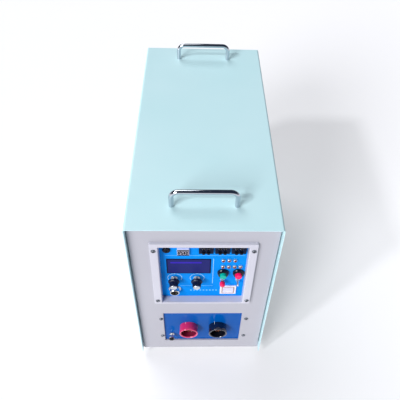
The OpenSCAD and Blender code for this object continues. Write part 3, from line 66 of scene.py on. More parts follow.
BODY_OF = {
    node: body
    for body, nodes in frame["record"]["behaviour"]["bodies"].items()
    for node in nodes
}


class Facing(Enum):
    """The side of the cabinet that a small part looks out of."""

    FRONT = Vector((0, -1, 0))
    REAR = Vector((0, 1, 0))
    LEFT = Vector((-1, 0, 0))
    RIGHT = Vector((1, 0, 0))


# ---------------------------------------------------------------- finishes


def linear(hex_colour: str) -> tuple[float, float, float, float]:
    """Turns an sRGB hex colour to the linear values that a shader takes.

    Args:
        hex_colour: Six hex digits with a leading hash.

    Returns:
        Red, green, blue and an alpha of one.
    """
    parts = [int(hex_colour[i : i + 2], 16) / 255 for i in (1, 3, 5)]
    turned = [c / 12.92 if c <= 0.04045 else ((c + 0.055) / 1.055) ** 2.4 for c in parts]
    return (turned[0], turned[1], turned[2], 1.0)


def add(
    tree: Tree,
    kind: str,
    inputs: dict[str | int, object] | None = None,
    **settings: object,
) -> Node:
    """Adds a node with its settings, values and links.

    Args:
        tree: The tree that gets the node.
        kind: The node's type name.
        inputs: Values or output sockets, by input name or number.
        **settings: Properties of the node itself.

    Returns:
        The new node.
    """
    node = tree.nodes.new(kind)
    for key, value in settings.items():
        setattr(node, key, value)
    for key, value in (inputs or {}).items():
        if isinstance(value, Socket):
            tree.links.new(value, node.inputs[key])
        else:
            node.inputs[key].default_value = value
    return node


@dataclass(frozen=True)
class Finish:
    """A surface: what it is made of, how it was finished and how it takes the light."""

    name: str
    colour: str
    roughness: float
    metallic: float = 0.0
    ior: float = 1.5
    coat: float = 0.0
    coat_roughness: float = 0.05
    specular: float = 0.5
    glow: str = ""
    glow_strength: float = 0.0

    def material(self) -> bpy.types.Material:
        """Builds the material once and hands it out after that.

        Returns:
            The material of this finish.
        """
        made = bpy.data.materials.get(self.name)
        if made:
            return made
        made = bpy.data.materials.new(self.name)
        made.use_nodes = True
        tree = made.node_tree
        shader = tree.nodes["Principled BSDF"]
        values = {
            "Base Color": linear(self.colour),
            "Roughness": self.roughness,
            "Metallic": self.metallic,
            "IOR": self.ior,
            "Coat Weight": self.coat,
            "Coat Roughness": self.coat_roughness,
            "Specular IOR Level": self.specular,
        }
        if self.glow:
            values |= {"Emission Color": linear(self.glow), "Emission Strength": self.glow_strength}
        for name, value in values.items():
            shader.inputs[name].default_value = value
        self.weave(tree, shader, add(tree, "ShaderNodeTexCoord").outputs["Object"])
        return made

    def weave(self, tree: Tree, shader: Node, place: Socket) -> None:
        """Adds the fine detail of the finish; a plain finish gets handling marks in its gloss.

        Args:
            tree: The material's tree.
            shader: The material's shader.
            place: Object coordinates.
        """
        self.gloss_marks(tree, shader, place, 14.0, 0.06)

    def gloss_marks(self, tree: Tree, shader: Node, place: Socket, size_mm: float, spread: float) -> None:
        """Varies the roughness in soft patches, as handling and cleaning leave it.

        Args:
            tree: The material's tree.
            shader: The material's shader.
            place: Object coordinates.
            size_mm: Size of a patch.
            spread: How far the roughness moves either way.
        """
        patches = add(
            tree, "ShaderNodeTexNoise", {"Vector": place, "Scale": 1 / (size_mm * MM), "Detail": 3.0}
        )
        level = add(
            tree,
            "ShaderNodeMapRange",
            {
                "Value": patches.outputs["Fac"],
                "From Min": 0.3,
                "From Max": 0.7,
                "To Min": max(self.roughness - spread, 0.02),
                "To Max": self.roughness + spread,
            },
        )
        tree.links.new(level.outputs["Result"], shader.inputs["Roughness"])

    def tint(self, tree: Tree, shader: Node, factor: Socket, other: str) -> None:
        """Blends the colour towards another one.

        Args:
            tree: The material's tree.
            shader: The material's shader.
            factor: How much of the other colour shows.
            other: The other colour in hex.
        """
        mix = add(
            tree,
            "ShaderNodeMix",
            {"Factor": factor, "A": linear(self.colour), "B": linear(other)},
            data_type="RGBA",
        )
        tree.links.new(mix.outputs["Result"], shader.inputs["Base Color"])

    def relief(self, tree: Tree, shader: Node, height: Socket, depth_mm: float, strength: float) -> None:
        """Turns a height into a bump of a real depth.

        Args:
            tree: The material's tree.
            shader: The material's shader.
            height: The height, from zero to one.
            depth_mm: Depth from the lowest to the highest point.
            strength: How much of the bump shows.
        """
        bump = add(
            tree, "ShaderNodeBump", {"Height": height, "Distance": depth_mm * MM, "Strength": strength}
        )
        tree.links.new(bump.outputs["Normal"], shader.inputs["Normal"])


@dataclass(frozen=True)
class PowderCoat(Finish):
    """Oven-cured powder paint on steel: satin, with the soft orange peel such paint has."""

    peel_mm: float = 2.4
    drift_mm: float = 170.0
    shade: str = "#FFFFFF"

    def weave(self, tree: Tree, shader: Node, place: Socket) -> None:
        """Adds the orange peel, about 2 mm across, and a slow drift of the paint's tone."""
        peel = add(
            tree, "ShaderNodeTexNoise", {"Vector": place, "Scale": 1 / (self.peel_mm * MM), "Detail": 2.0}
        )
        self.relief(tree, shader, peel.outputs["Fac"], 0.03, 0.55)
        drift = add(
            tree, "ShaderNodeTexNoise", {"Vector": place, "Scale": 1 / (self.drift_mm * MM), "Detail": 2.0}
        )
        spread = add(
            tree,
            "ShaderNodeMapRange",
            {"Value": drift.outputs["Fac"], "From Min": 0.35, "From Max": 0.65, "To Max": 0.5},
        )
        self.tint(tree, shader, spread.outputs["Result"], self.shade)
        self.gloss_marks(tree, shader, place, 60.0, 0.05)


@dataclass(frozen=True)
class Film(Finish):
    """Back-printed polyester film over a plate: flat even colour under a clear skin."""

    grain_mm: float = 0.5
    wave_mm: float = 45.0

    def weave(self, tree: Tree, shader: Node, place: Socket) -> None:
        """Adds the film's fine grain and the slow waves of its glue bed."""
        grain = add(
            tree, "ShaderNodeTexNoise", {"Vector": place, "Scale": 1 / (self.grain_mm * MM), "Detail": 1.0}
        )
        waves = add(
            tree, "ShaderNodeTexNoise", {"Vector": place, "Scale": 1 / (self.wave_mm * MM), "Detail": 1.0}
        )
        height = add(
            tree,
            "ShaderNodeMath",
            {0: waves.outputs["Fac"], 1: 12.0, 2: grain.outputs["Fac"]},
            operation="MULTIPLY_ADD",
        )
        self.relief(tree, shader, height.outputs["Value"], 0.012, 0.5)


@dataclass(frozen=True)
class Plating(Finish):
    """Chrome or nickel plate: mirror metal with faint wipe marks."""

    wipe_mm: float = 9.0

    def weave(self, tree: Tree, shader: Node, place: Socket) -> None:
        """Adds wipe marks, a little duller than the metal between them."""
        self.gloss_marks(tree, shader, place, self.wipe_mm, 0.04)


@dataclass(frozen=True)
class Turned(Finish):
    """Metal faced on a lathe: fine rings about the part's own axis along Y."""

    centre: tuple[float, float, float] = (0.0, 0.0, 0.0)
    ring_mm: float = 0.5

    def weave(self, tree: Tree, shader: Node, place: Socket) -> None:
        """Adds the tool's rings, drawn at half a millimetre so that they show."""
        x, _, z = self.centre
        moved = add(tree, "ShaderNodeVectorMath", {0: place, 1: (-x, 0.0, -z)}, operation="ADD")
        flat = add(
            tree,
            "ShaderNodeVectorMath",
            {0: moved.outputs["Vector"], 1: (1.0, 0.0, 1.0)},
            operation="MULTIPLY",
        )
        radius = add(tree, "ShaderNodeVectorMath", {0: flat.outputs["Vector"]}, operation="LENGTH")
        turns = add(
            tree,
            "ShaderNodeMath",
            {0: radius.outputs["Value"], 1: 2 * math.pi / (self.ring_mm * MM)},
            operation="MULTIPLY",
        )
        wave = add(tree, "ShaderNodeMath", {0: turns.outputs["Value"]}, operation="SINE")
        self.relief(tree, shader, wave.outputs["Value"], 0.012, 0.6)


@dataclass(frozen=True)
class Moulded(Finish):
    """Injection-moulded plastic or rubber with a spark-eroded grain."""

    grain_mm: float = 0.7
    depth_mm: float = 0.012

    def weave(self, tree: Tree, shader: Node, place: Socket) -> None:
        """Adds the mould's grain and soft patches of handling gloss."""
        grain = add(
            tree, "ShaderNodeTexNoise", {"Vector": place, "Scale": 1 / (self.grain_mm * MM), "Detail": 3.0}
        )
        self.relief(tree, shader, grain.outputs["Fac"], self.depth_mm, 0.6)
        self.gloss_marks(tree, shader, place, 11.0, 0.05)


@dataclass(frozen=True)
class Wound(Finish):
    """Copper bar and strap: lapped turns, darker in the gaps and where the heat has toned it."""

    tone: str = "#8A4A30"
    tone_mm: float = 18.0
    line_mm: float = 1.5

    def weave(self, tree: Tree, shader: Node, place: Socket) -> None:
        """Adds brown heat tones and drawing lines, coarser than real ones so that they show."""
        tones = add(
            tree, "ShaderNodeTexNoise", {"Vector": place, "Scale": 1 / (self.tone_mm * MM), "Detail": 4.0}
        )
        self.tint(tree, shader, tones.outputs["Fac"], self.tone)
        lines = add(
            tree,
            "ShaderNodeTexWave",
            {"Vector": place, "Scale": 1 / (self.line_mm * MM) / 20, "Distortion": 1.0},
            bands_direction="Z",
        )
        self.relief(tree, shader, lines.outputs["Fac"], 0.02, 0.4)


# Oven-cured powder: a satin sheen that breaks up in its orange peel
COVER_PAINT = PowderCoat("powder_coat_mint_satin", "#C6EAF0", 0.36, shade="#D0EEF4")
# The same kind of powder, a little flatter, so the front reads calmer than the cover
PANEL_PAINT = PowderCoat("powder_coat_light_grey_satin", "#B0AFB8", 0.42, shade="#B7B6BF")
# Sprayed moulding: finer peel and a paler grey than the panel round it
BEZEL_PAINT = PowderCoat("sprayed_abs_pearl_grey", "#C5C4D0", 0.34, peel_mm=1.6, shade="#CCCBD6")
# Film printed on its back: flat strong blue with hardly a reflection
PLATE_FILM = Film("polyester_film_printed_azure", "#0488E8", 0.42, ior=1.64, specular=0.02)
# Screen ink: thin pale lines, matt beside the film
PRINT_WHITE = Film("screen_print_white_ink", "#B4DEFA", 0.45, specular=0.05)
# The same ink laid thinner: bluer lines
PRINT_FAINT = Film("screen_print_pale_blue_ink", "#86CCF8", 0.45, specular=0.05)
# Acrylic painted on its back: a deep blue under a skin that mirrors the terminals
OUTPUT_ACRYLIC = Film(
    "acrylic_sheet_back_painted_blue", "#0052A4", 0.05, ior=1.49, grain_mm=6.0, specular=0.08
)
# Chrome over polished steel: black and white streaks of whatever stands round it
CHROME = Plating("bright_chrome_plate_on_steel", "#C9CED6", 0.10, metallic=1.0)
# Nickel: a warmer mirror than chrome
NICKEL = Plating("bright_nickel_plate_on_brass", "#D8D3C8", 0.16, metallic=1.0, wipe_mm=5.0)
# Tumbled nickel: a broad soft highlight
SATIN_NICKEL = Plating("satin_nickel_plate_on_brass", "#E9E5DE", 0.38, metallic=1.0, wipe_mm=3.0)
# Zinc plate: grey and rather dark, with a dull glint on each crown
ZINC = Plating("zinc_plated_steel", "#7C8088", 0.24, metallic=1.0, wipe_mm=4.0)
# Blackened steel: near black with a steel edge; the same dark finish is also painted shade at the foot of
# each screw's cross recess
BLACK_OXIDE_AND_RECESS_SHADE = Plating("black_oxide_steel", "#23262E", 0.34, metallic=1.0, wipe_mm=4.0)
# Cut brass: yellow with sharp glints
BRASS = Plating("machined_brass", "#C9A555", 0.24, metallic=1.0)
# Extrusion: pale grey with long soft wipe marks
ALUMINIUM = Plating("extruded_aluminium", "#B4B8BC", 0.36, metallic=1.0, wipe_mm=20.0)
# Drawn copper: orange with brown heat tones and fine lines
COPPER = Wound("drawn_copper_bar", "#C87A50", 0.28, metallic=1.0)
# Cut copper: the same metal, redder where it has darkened
UNION_COPPER = Wound("machined_copper_union", "#B96F4C", 0.30, metallic=1.0, tone="#7E4630")
# ABS from an eroded mould: a blue-black that gives back little light
DARK_PLASTIC = Moulded("moulded_abs_blue_black", "#0C1832", 0.44, specular=0.06)
# Nylon: black with a low sheen
BLACK_PLASTIC = Moulded("moulded_nylon_black", "#0A0E1A", 0.46, specular=0.12)
# Phenolic: dark blue, a soft line of light along each flute
KNOB_PLASTIC = Moulded("moulded_phenolic_dark_blue", "#101A3C", 0.34, grain_mm=0.5, specular=0.3)
# Polished ABS: black with a sharp highlight on the ring
RING_PLASTIC = Moulded("polished_abs_black_ring", "#080C1C", 0.14, specular=0.5)
# Clear-tinted ABS: an even green that looks lit from inside
GREEN_CAP = Moulded("translucent_abs_green_cap", "#00AE9C", 0.34, depth_mm=0.004, specular=0.2)
# The same plastic in red
RED_CAP = Moulded("translucent_abs_red_cap", "#FF1464", 0.34, depth_mm=0.004, specular=0.2)
# Dipped vinyl: soft pinkish red, no sharp highlight
RED_SLEEVE = Moulded("soft_vinyl_red_sleeve", "#F6205F", 0.36, depth_mm=0.006, specular=0.25)
# Moulded ABS: white, faintly cool
WHITE_PLASTIC = Moulded("moulded_abs_white", "#E9E6F4", 0.30, depth_mm=0.006)
# Nylon: a cooler white with a smoother face
ROCKER_PLASTIC = Moulded("moulded_nylon_white_rocker", "#DDDBF4", 0.26, depth_mm=0.006)
# The inside of the red cup: a dark maroon that is painted shade for its bore
RED_BORE_PAINTED_SHADE = Moulded("phenolic_red_bore_unpolished", "#701436", 0.5, specular=0.3)
# The inside of the black cup: near black, painted shade for its bore
BLACK_BORE_PAINTED_SHADE = Moulded("phenolic_black_bore_unpolished", "#060A18", 0.5, specular=0.2)
# Polished phenolic: red under a gloss that shows a white streak
RED_INSULATOR = Moulded(
    "polished_phenolic_red_terminal", "#D62A66", 0.14, coat=1.0, coat_roughness=0.04, depth_mm=0.003
)
# The same in blue-black, where the streak stands out most
BLACK_INSULATOR = Moulded(
    "polished_phenolic_black_terminal", "#10162E", 0.12, coat=1.0, coat_roughness=0.03, depth_mm=0.003
)
# Moulded rubber: dull, with a coarse grain
FOOT_RUBBER = Moulded("moulded_black_rubber", "#1B1C20", 0.62, grain_mm=1.2, depth_mm=0.03)
# Silicone hose: soft blue with a low sheen
HOSE_RUBBER = Moulded("silicone_water_hose_blue", "#6E8CAA", 0.42, grain_mm=1.5, depth_mm=0.02)
# Tinted acrylic: indigo, kept from mirroring the floor
WINDOW_TINT = Film("tinted_acrylic_display_window", "#26296A", 0.30, ior=1.49, specular=0.03)
# The border painted on its back: darker than the field
WINDOW_FRAME = Film("tinted_acrylic_window_border", "#101838", 0.30, ior=1.49, specular=0.03)
# A painted reflection on the window: a violet line with a weak glow
PAINTED_REFLECTION_BAR = Finish(
    "lit_display_bar_violet", "#2A1890", 0.35, specular=0.1, glow="#3A20D8", glow_strength=0.28
)
# The digit display's filter: near black
DIGIT_FACE = Film("digit_display_black_face", "#0D0D1A", 0.35, specular=0.1)
# Bars of the digits: pale against the filter
DIGIT_BAR = Finish("unlit_digit_segment_grey", "#DDD8EC", 0.40)
# Silicone seal: a thin amber line round the rocker
AMBER_SEAL = Moulded("amber_silicone_rocker_seal", "#A8784A", 0.45)
# Lens of an unlit lamp: dark red-brown with one small glint
LAMP_RED = Moulded("lamp_lens_red_acrylic", "#7A2C20", 0.25, ior=1.49, specular=0.4, depth_mm=0.002)
# Number wheel: matt white
WHEEL_WHITE = Moulded("number_wheel_white_abs", "#E6E6EE", 0.4)
# Hot-stamped ink on the wheel: black
WHEEL_INK = Finish("number_wheel_black_ink", "#15161C", 0.5)
# Pressed ferrite: charcoal with a gritty face
FERRITE = Moulded("pressed_ferrite_core", "#33353B", 0.62, grain_mm=1.8, depth_mm=0.04)
# Lacquered can: cream, half matt
FILM_CAPACITOR = Moulded("capacitor_can_cream_lacquer", "#D6CFBC", 0.40)
# Cast module case: ivory, half matt
MODULE_CASE = Moulded("power_module_case_ivory", "#DAD8D0", 0.45)
# Solder mask: green, with a weave that just shows
BOARD_GREEN = Film("solder_mask_green", "#1F6B40", 0.35, grain_mm=2.0)


# ---------------------------------------------------------------- making meshes


def settle(
    piece: Piece,
    body: str,
    finish: Finish,
    stands_for: Sequence[str] = (),
) -> Piece:
    """Gives a piece its finish, its body and the solids it stands for.

    Args:
        piece: The object, with its place in its mesh.
        body: The body it rides on.
        finish: Its surface.
        stands_for: Solids that it replaces.

    Returns:
        The same object.
    """
    piece.data.materials.clear()
    piece.data.materials.append(finish.material())
    if stands_for:
        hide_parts(*stands_for)
    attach(piece, body)
    log.info("%s rides on %s in %s", piece.name, body, finish.name)
    return piece


def linked(name: str, data: bpy.types.ID) -> Piece:
    """Makes an object of mesh, text, light or camera data and links it to the scene.

    Args:
        name: The object's name.
        data: What it shows.

    Returns:
        The object.
    """
    piece = bpy.data.objects.new(name, data)
    bpy.context.scene.collection.objects.link(piece)
    return piece


def evaluated(piece: Piece) -> bpy.types.Mesh:
    """Gives the mesh of a piece as its modifiers leave it.

    Args:
        piece: The object.

    Returns:
        A mesh of its own.
    """
    bpy.context.view_layer.update()
    return bpy.data.meshes.new_from_object(piece.evaluated_get(bpy.context.evaluated_depsgraph_get()))


def bridge(
    bm: bmesh.types.BMesh, rings: Sequence[list[bmesh.types.BMVert]], closed: bool = False
) -> None:
    """Puts faces between neighbouring rings of corners; a ring of one corner is a tip.

    Args:
        bm: The mesh.
        rings: The rings in order.
        closed: Whether the last ring meets the first one.
    """
    after = [*rings[1:], rings[0]] if closed else rings[1:]
    for low, high in zip(rings, after):
        count = max(len(low), len(high))
        for i in range(count if count > 1 else 0):
            j = (i + 1) % count
            corners = (low[i % len(low)], low[j % len(low)], high[j % len(high)], high[i % len(high)])
            bm.faces.new(list(dict.fromkeys(corners)))


def rounded(half_wide: float, half_tall: float, radius: float, steps: int) -> list[tuple[float, float]]:
    """Lists the outline of a rectangle with round corners.

    Args:
        half_wide: Half its width.
        half_tall: Half its height.
        radius: Radius of its corners.
        steps: Parts that a corner is drawn in.

    Returns:
        Points anticlockwise from the right-hand side.
    """
    outline = []
    for quarter, (sx, sy) in enumerate(((1, 1), (-1, 1), (-1, -1), (1, -1))):
        for i in range(steps + 1):
            turn = math.pi / 2 * (quarter + i / steps)
            x = sx * (half_wide - radius) + radius * math.cos(turn)
            outline.append((x, sy * (half_tall - radius) + radius * math.sin(turn)))
    return outline


def object_from(name: str, bm: bmesh.types.BMesh, sharp_deg: float = 35.0) -> Piece:
    """Makes an object of a bmesh, smooth but for its sharp edges.

    Args:
        name: The object's name.
        bm: The mesh, which is freed here.
        sharp_deg: Edges that turn further than this stay sharp.

    Returns:
        The linked object.
    """
    limit = math.radians(sharp_deg)
    for face in bm.faces:
        face.smooth = True
    for edge in bm.edges:
        edge.smooth = len(edge.link_faces) == 2 and edge.calc_face_angle(math.pi) < limit
    mesh = bpy.data.meshes.new(name)
    bm.to_mesh(mesh)
    bm.free()
    return linked(name, mesh)


def clean_copy(node: str, bevel_mm: float = 0.0, sharp_deg: float = 32.0) -> Piece:
    """Copies a solid, merges its triangles and softens its edges; the solid itself is left alone.

    Args:
        node: The solid's name.
        bevel_mm: Width of the softened edges, none if zero.
        sharp_deg: Edges that turn further than this count as edges.

    Returns:
        The copy.
    """
    bm = bmesh.new()
    bm.from_mesh(frame["nodes"][node].data)
    bmesh.ops.remove_doubles(bm, verts=bm.verts, dist=0.004 * MM)
    bmesh.ops.dissolve_limit(bm, angle_limit=math.radians(0.6), verts=bm.verts, edges=bm.edges)
    piece = object_from(node + "_dressed", bm, sharp_deg)
    if bevel_mm:
        bevel = piece.modifiers.new("soft_edges", "BEVEL")
        bevel.width = bevel_mm * MM
        bevel.segments = 2
        bevel.limit_method = "ANGLE"
        bevel.angle_limit = math.radians(sharp_deg)
        bevel.harden_normals = True
        bevel.use_clamp_overlap = True
    weighted = piece.modifiers.new("even_shading", "WEIGHTED_NORMAL")
    weighted.keep_sharp = True
    return piece


def dressed(node: str, finish: Finish, bevel_mm: float = 0.0) -> Piece:
    """Puts a clean copy of a solid in its place, with its finish.

    Args:
        node: The solid's name.
        finish: Its surface.
        bevel_mm: Width of its softened edges.

    Returns:
        The piece.
    """
    return settle(clean_copy(node, bevel_mm), BODY_OF[node], finish, (node,))


def out_of(facing: Facing, place: Sequence[float]) -> Matrix:
    """The matrix that lays Z up work onto a side of the cabinet.

    Args:
        facing: The side it looks out of.
        place: Where its zero goes, in metres.

    Returns:
        A placing matrix.
    """
    return Matrix.Translation(Vector(place)) @ facing.value.to_track_quat("Z", "Y").to_matrix().to_4x4()


def on_front(node: str, x: float, z: float, lift: float = 0.0) -> Matrix:
    """The matrix that lays Z up work onto the front face of a solid.

    Args:
        node: The solid's name.
        x: Place across the cabinet in millimetres.
        z: Height above the floor in millimetres.
        lift: How far in front of the face, in millimetres.

    Returns:
        A placing matrix.
    """
    return out_of(Facing.FRONT, (x * MM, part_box(node)[0].y - lift * MM, z * MM))


def lathe(
    name: str,
    profile: Sequence[tuple[float, float]],
    place: Matrix,
    steps: int = 64,
    sharp_deg: float = 35.0,
) -> Piece:
    """Turns a closed profile about its axis.

    Args:
        name: The object's name.
        profile: Radius and height points in millimetres, in order; on the axis the radius is zero.
        place: Where the turned piece goes.
        steps: Sides of the circle.
        sharp_deg: Edges that turn further stay sharp.

    Returns:
        The turned object.
    """
    bm = bmesh.new()
    rings: list[list[bmesh.types.BMVert]] = []
    for radius, height in profile:
        if radius < ON_AXIS:
            rings.append([bm.verts.new((0, 0, height * MM))])
            continue
        ring = []
        for turn in (2 * math.pi * i / steps for i in range(steps)):
            spot = (radius * MM * math.cos(turn), radius * MM * math.sin(turn), height * MM)
            ring.append(bm.verts.new(spot))
        rings.append(ring)
    bridge(bm, rings, closed=True)
    bmesh.ops.recalc_face_normals(bm, faces=bm.faces)
    bm.transform(place)
    return object_from(name, bm, sharp_deg)


def plate(
    name: str,
    width: float,
    height: float,
    thick: float,
    place: Matrix,
    corner: float = 0.0,
    steps: int = 5,
) -> Piece:
    """Makes a flat plate with round corners, its back on the placing plane.

    Args:
        name: The object's name.
        width: Width in millimetres.
        height: Height in millimetres.
        thick: Thickness in millimetres.
        place: Where its middle goes, Z outward.
        corner: Corner radius in millimetres.
        steps: Parts that a corner is drawn in.

    Returns:
        The plate.
    """
    bm = bmesh.new()
    outline = rounded(width / 2, height / 2, max(corner, 0.01), steps)
    low = [bm.verts.new((x * MM, y * MM, 0)) for x, y in outline]
    top = [bm.verts.new((x * MM, y * MM, thick * MM)) for x, y in outline]
    bm.faces.new(low)
    bm.faces.new(top)
    for i in range(len(outline)):
        j = (i + 1) % len(outline)
        bm.faces.new((low[i], low[j], top[j], top[i]))
    bmesh.ops.recalc_face_normals(bm, faces=bm.faces)
    bm.transform(place)
    return object_from(name, bm)


def joined(name: str, pieces: Iterable[Piece]) -> Piece:
    """Joins pieces into one mesh object and drops them.

    Args:
        name: The joined object's name.
        pieces: The pieces.

    Returns:
        The joined object.
    """
    bm = bmesh.new()
    for piece in list(pieces):
        bm.from_mesh(piece.data)
        bpy.data.objects.remove(piece)
    return object_from(name, bm)


# ---------------------------------------------------------------- patterns by Geometry Nodes


@dataclass
class Spot:
    """Where one repeated small part goes, which way it looks and how it is turned."""

    place: Vector
    facing: Facing
    turn_deg: float = 0.0


def front_spots(node: str, places: Iterable[Sequence[float]], lift: float = 0.0) -> list[Spot]:
    """Spots on the front face of a solid.

    Args:
        node: The solid's name.
        places: Across, height and perhaps a turn in degrees; millimetres.
        lift: How far in front of the face, in millimetres.

    Returns:
        The spots, in the order of the places.
    """
    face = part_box(node)[0].y - lift * MM
    return [Spot(Vector((x * MM, face, z * MM)), Facing.FRONT, *turn) for x, z, *turn in places]


@dataclass
class Repeat:
    """A small part laid out at many spots by a Geometry Nodes tree."""

    name: str
    spots: list[Spot]
    scatter_deg: float = 0.0
    seed: int = 7

    def tree(self) -> Tree:
        """Builds the tree: points, a turn for each, the part on each, realised and painted.

        Returns:
            The tree, with its inputs named.
        """
        tree = bpy.data.node_groups.new(self.name + "_layout", "GeometryNodeTree")
        ports = tree.interface
        for port, kind in (
            ("Spots", "Geometry"), ("Part", "Object"), ("Finish", "Material"), ("Scatter Angle", "Float")
        ):
            ports.new_socket(port, in_out="INPUT", socket_type="NodeSocket" + kind)
        ports.new_socket("Laid Out", in_out="OUTPUT", socket_type="NodeSocketGeometry")
        given = add(tree, "NodeGroupInput").outputs
        facing = add(tree, "GeometryNodeInputNamedAttribute", {"Name": "facing"}, data_type="FLOAT_VECTOR")
        turn = add(tree, "GeometryNodeInputNamedAttribute", {"Name": "turn"}, data_type="FLOAT")
        upright = add(
            tree,
            "FunctionNodeAlignRotationToVector",
            {"Vector": facing.outputs["Attribute"]},
            axis="Z",
        )
        chance = add(
            tree,
            "FunctionNodeRandomValue",
            {"Min": -1.0, "Max": 1.0, "Seed": self.seed},
            data_type="FLOAT",
        )
        angle = add(
            tree,
            "ShaderNodeMath",
            {0: chance.outputs[1], 1: given["Scatter Angle"], 2: turn.outputs["Attribute"]},
            operation="MULTIPLY_ADD",
        )
        spin = add(
            tree,
            "FunctionNodeAxisAngleToRotation",
            {"Axis": (0.0, 0.0, 1.0), "Angle": angle.outputs["Value"]},
        )
        both = add(
            tree,
            "FunctionNodeRotateRotation",
            {"Rotation": upright.outputs["Rotation"], "Rotate By": spin.outputs["Rotation"]},
            rotation_space="LOCAL",
        )
        part = add(tree, "GeometryNodeObjectInfo", {"Object": given["Part"]}, transform_space="ORIGINAL")
        laid = add(
            tree,
            "GeometryNodeInstanceOnPoints",
            {
                "Points": given["Spots"],
                "Instance": part.outputs["Geometry"],
                "Rotation": both.outputs["Rotation"],
            },
        )
        real = add(tree, "GeometryNodeRealizeInstances", {"Geometry": laid.outputs["Instances"]})
        painted = add(
            tree,
            "GeometryNodeSetMaterial",
            {"Geometry": real.outputs["Geometry"], "Material": given["Finish"]},
        )
        add(tree, "NodeGroupOutput", {"Laid Out": painted.outputs["Geometry"]})
        return tree

    def make(self, part: Piece, finish: Finish) -> Piece:
        """Lays the part out and turns the result into one plain mesh.

        Args:
            part: The small part, Z up about its own zero; it is dropped afterwards.
            finish: Its surface.

        Returns:
            The finished object, with no modifier left.
        """
        carrier_mesh = bpy.data.meshes.new(self.name + "_spots")
        carrier_mesh.from_pydata([tuple(s.place) for s in self.spots], [], [])
        carrier_mesh.attributes.new("facing", "FLOAT_VECTOR", "POINT")
        carrier_mesh.attributes.new("turn", "FLOAT", "POINT")
        facing = carrier_mesh.attributes["facing"]
        turn = carrier_mesh.attributes["turn"]
        for i, spot in enumerate(self.spots):
            facing.data[i].vector = spot.facing.value
            turn.data[i].value = math.radians(spot.turn_deg)
        carrier = linked(self.name + "_spots", carrier_mesh)
        tree = self.tree()
        layout = carrier.modifiers.new("layout", "NODES")
        layout.node_group = tree
        socket = {s.name: s.identifier for s in tree.interface.items_tree if s.in_out == "INPUT"}
        layout[socket["Part"]] = part
        layout[socket["Finish"]] = finish.material()
        layout[socket["Scatter Angle"]] = math.radians(self.scatter_deg)
        mesh = evaluated(carrier)
        mesh.name = self.name
        result = linked(self.name, mesh)
        bpy.data.objects.remove(carrier)
        bpy.data.objects.remove(part)
        return result


# ---------------------------------------------------------------- sub-assemblies


@dataclass
class CrossScrews:
    """Pan-head screws with cross recesses, sizes in millimetres."""

    head: float = 8.2
    rise: float = 2.6
    shank: float = 4.0
    slot: float = 1.5
    slot_reach: float = 2.7
    slot_deep: float = 1.3

    def blank(self, length: float) -> Piece:
        """Makes one screw, its head's seat at zero, with the cross cut into its crown.

        Args:
            length: Length under the head.

        Returns:
            The screw.
        """
        r, h = self.head / 2, self.rise
        screw = lathe(
            "screw_blank",
            [
                (0, -length), (self.shank / 2, -length), (self.shank / 2, 0), (r - 0.2, 0), (r, 0.25),
                (r, h * 0.42), (r * 0.92, h * 0.66), (r * 0.78, h * 0.84), (r * 0.5, h * 0.97), (0, h),
            ],
            Matrix.Identity(4),
            40,
        )
        cutter = bmesh.new()
        for turn in (0.0, math.pi / 2):
            top = h + 0.5
            low = h - self.slot_deep
            wide, tip = self.slot / 2, self.slot / 3.2
            reach, foot = self.slot_reach, self.slot_reach * 0.45
            corners = [
                (-foot, -tip, low), (foot, -tip, low), (foot, tip, low), (-foot, tip, low),
                (-reach, -wide, top), (reach, -wide, top), (reach, wide, top), (-reach, wide, top),
            ]
            verts = [
                cutter.verts.new(Matrix.Rotation(turn, 3, "Z") @ (Vector(c) * MM)) for c in corners
            ]
            for quad in ((0, 1, 2, 3), (4, 5, 6, 7), (0, 1, 5, 4), (1, 2, 6, 5), (2, 3, 7, 6), (3, 0, 4, 7)):
                cutter.faces.new([verts[i] for i in quad])
        bmesh.ops.recalc_face_normals(cutter, faces=cutter.faces)
        tool = object_from("cross_cutter", cutter)
        cut = screw.modifiers.new("cross", "BOOLEAN")
        cut.object = tool
        cut.operation = "DIFFERENCE"
        cut.solver = "EXACT"
        cut.use_self = True
        bm = bmesh.new()
        bm.from_mesh(evaluated(screw))
        bpy.data.objects.remove(screw)
        bpy.data.objects.remove(tool)
        return object_from("screw_blank", bm, 30.0)

    def recess(self) -> Piece:
        """Painted shade: dark bars at the foot of the cross recess, so that it reads as a cross from afar."""
        low = Matrix.Translation(Vector((0, 0, self.rise - self.slot_deep)) * MM)
        long, wide, tall = 1.5 * self.slot_reach, self.slot * 0.8, 0.9
        bars = [
            plate("recess_bar", long, wide, tall, low @ Matrix.Rotation(turn, 4, "Z"), 0.2, 2)
            for turn in (0.0, math.pi / 2)
        ]
        return joined("recess_blank", bars)


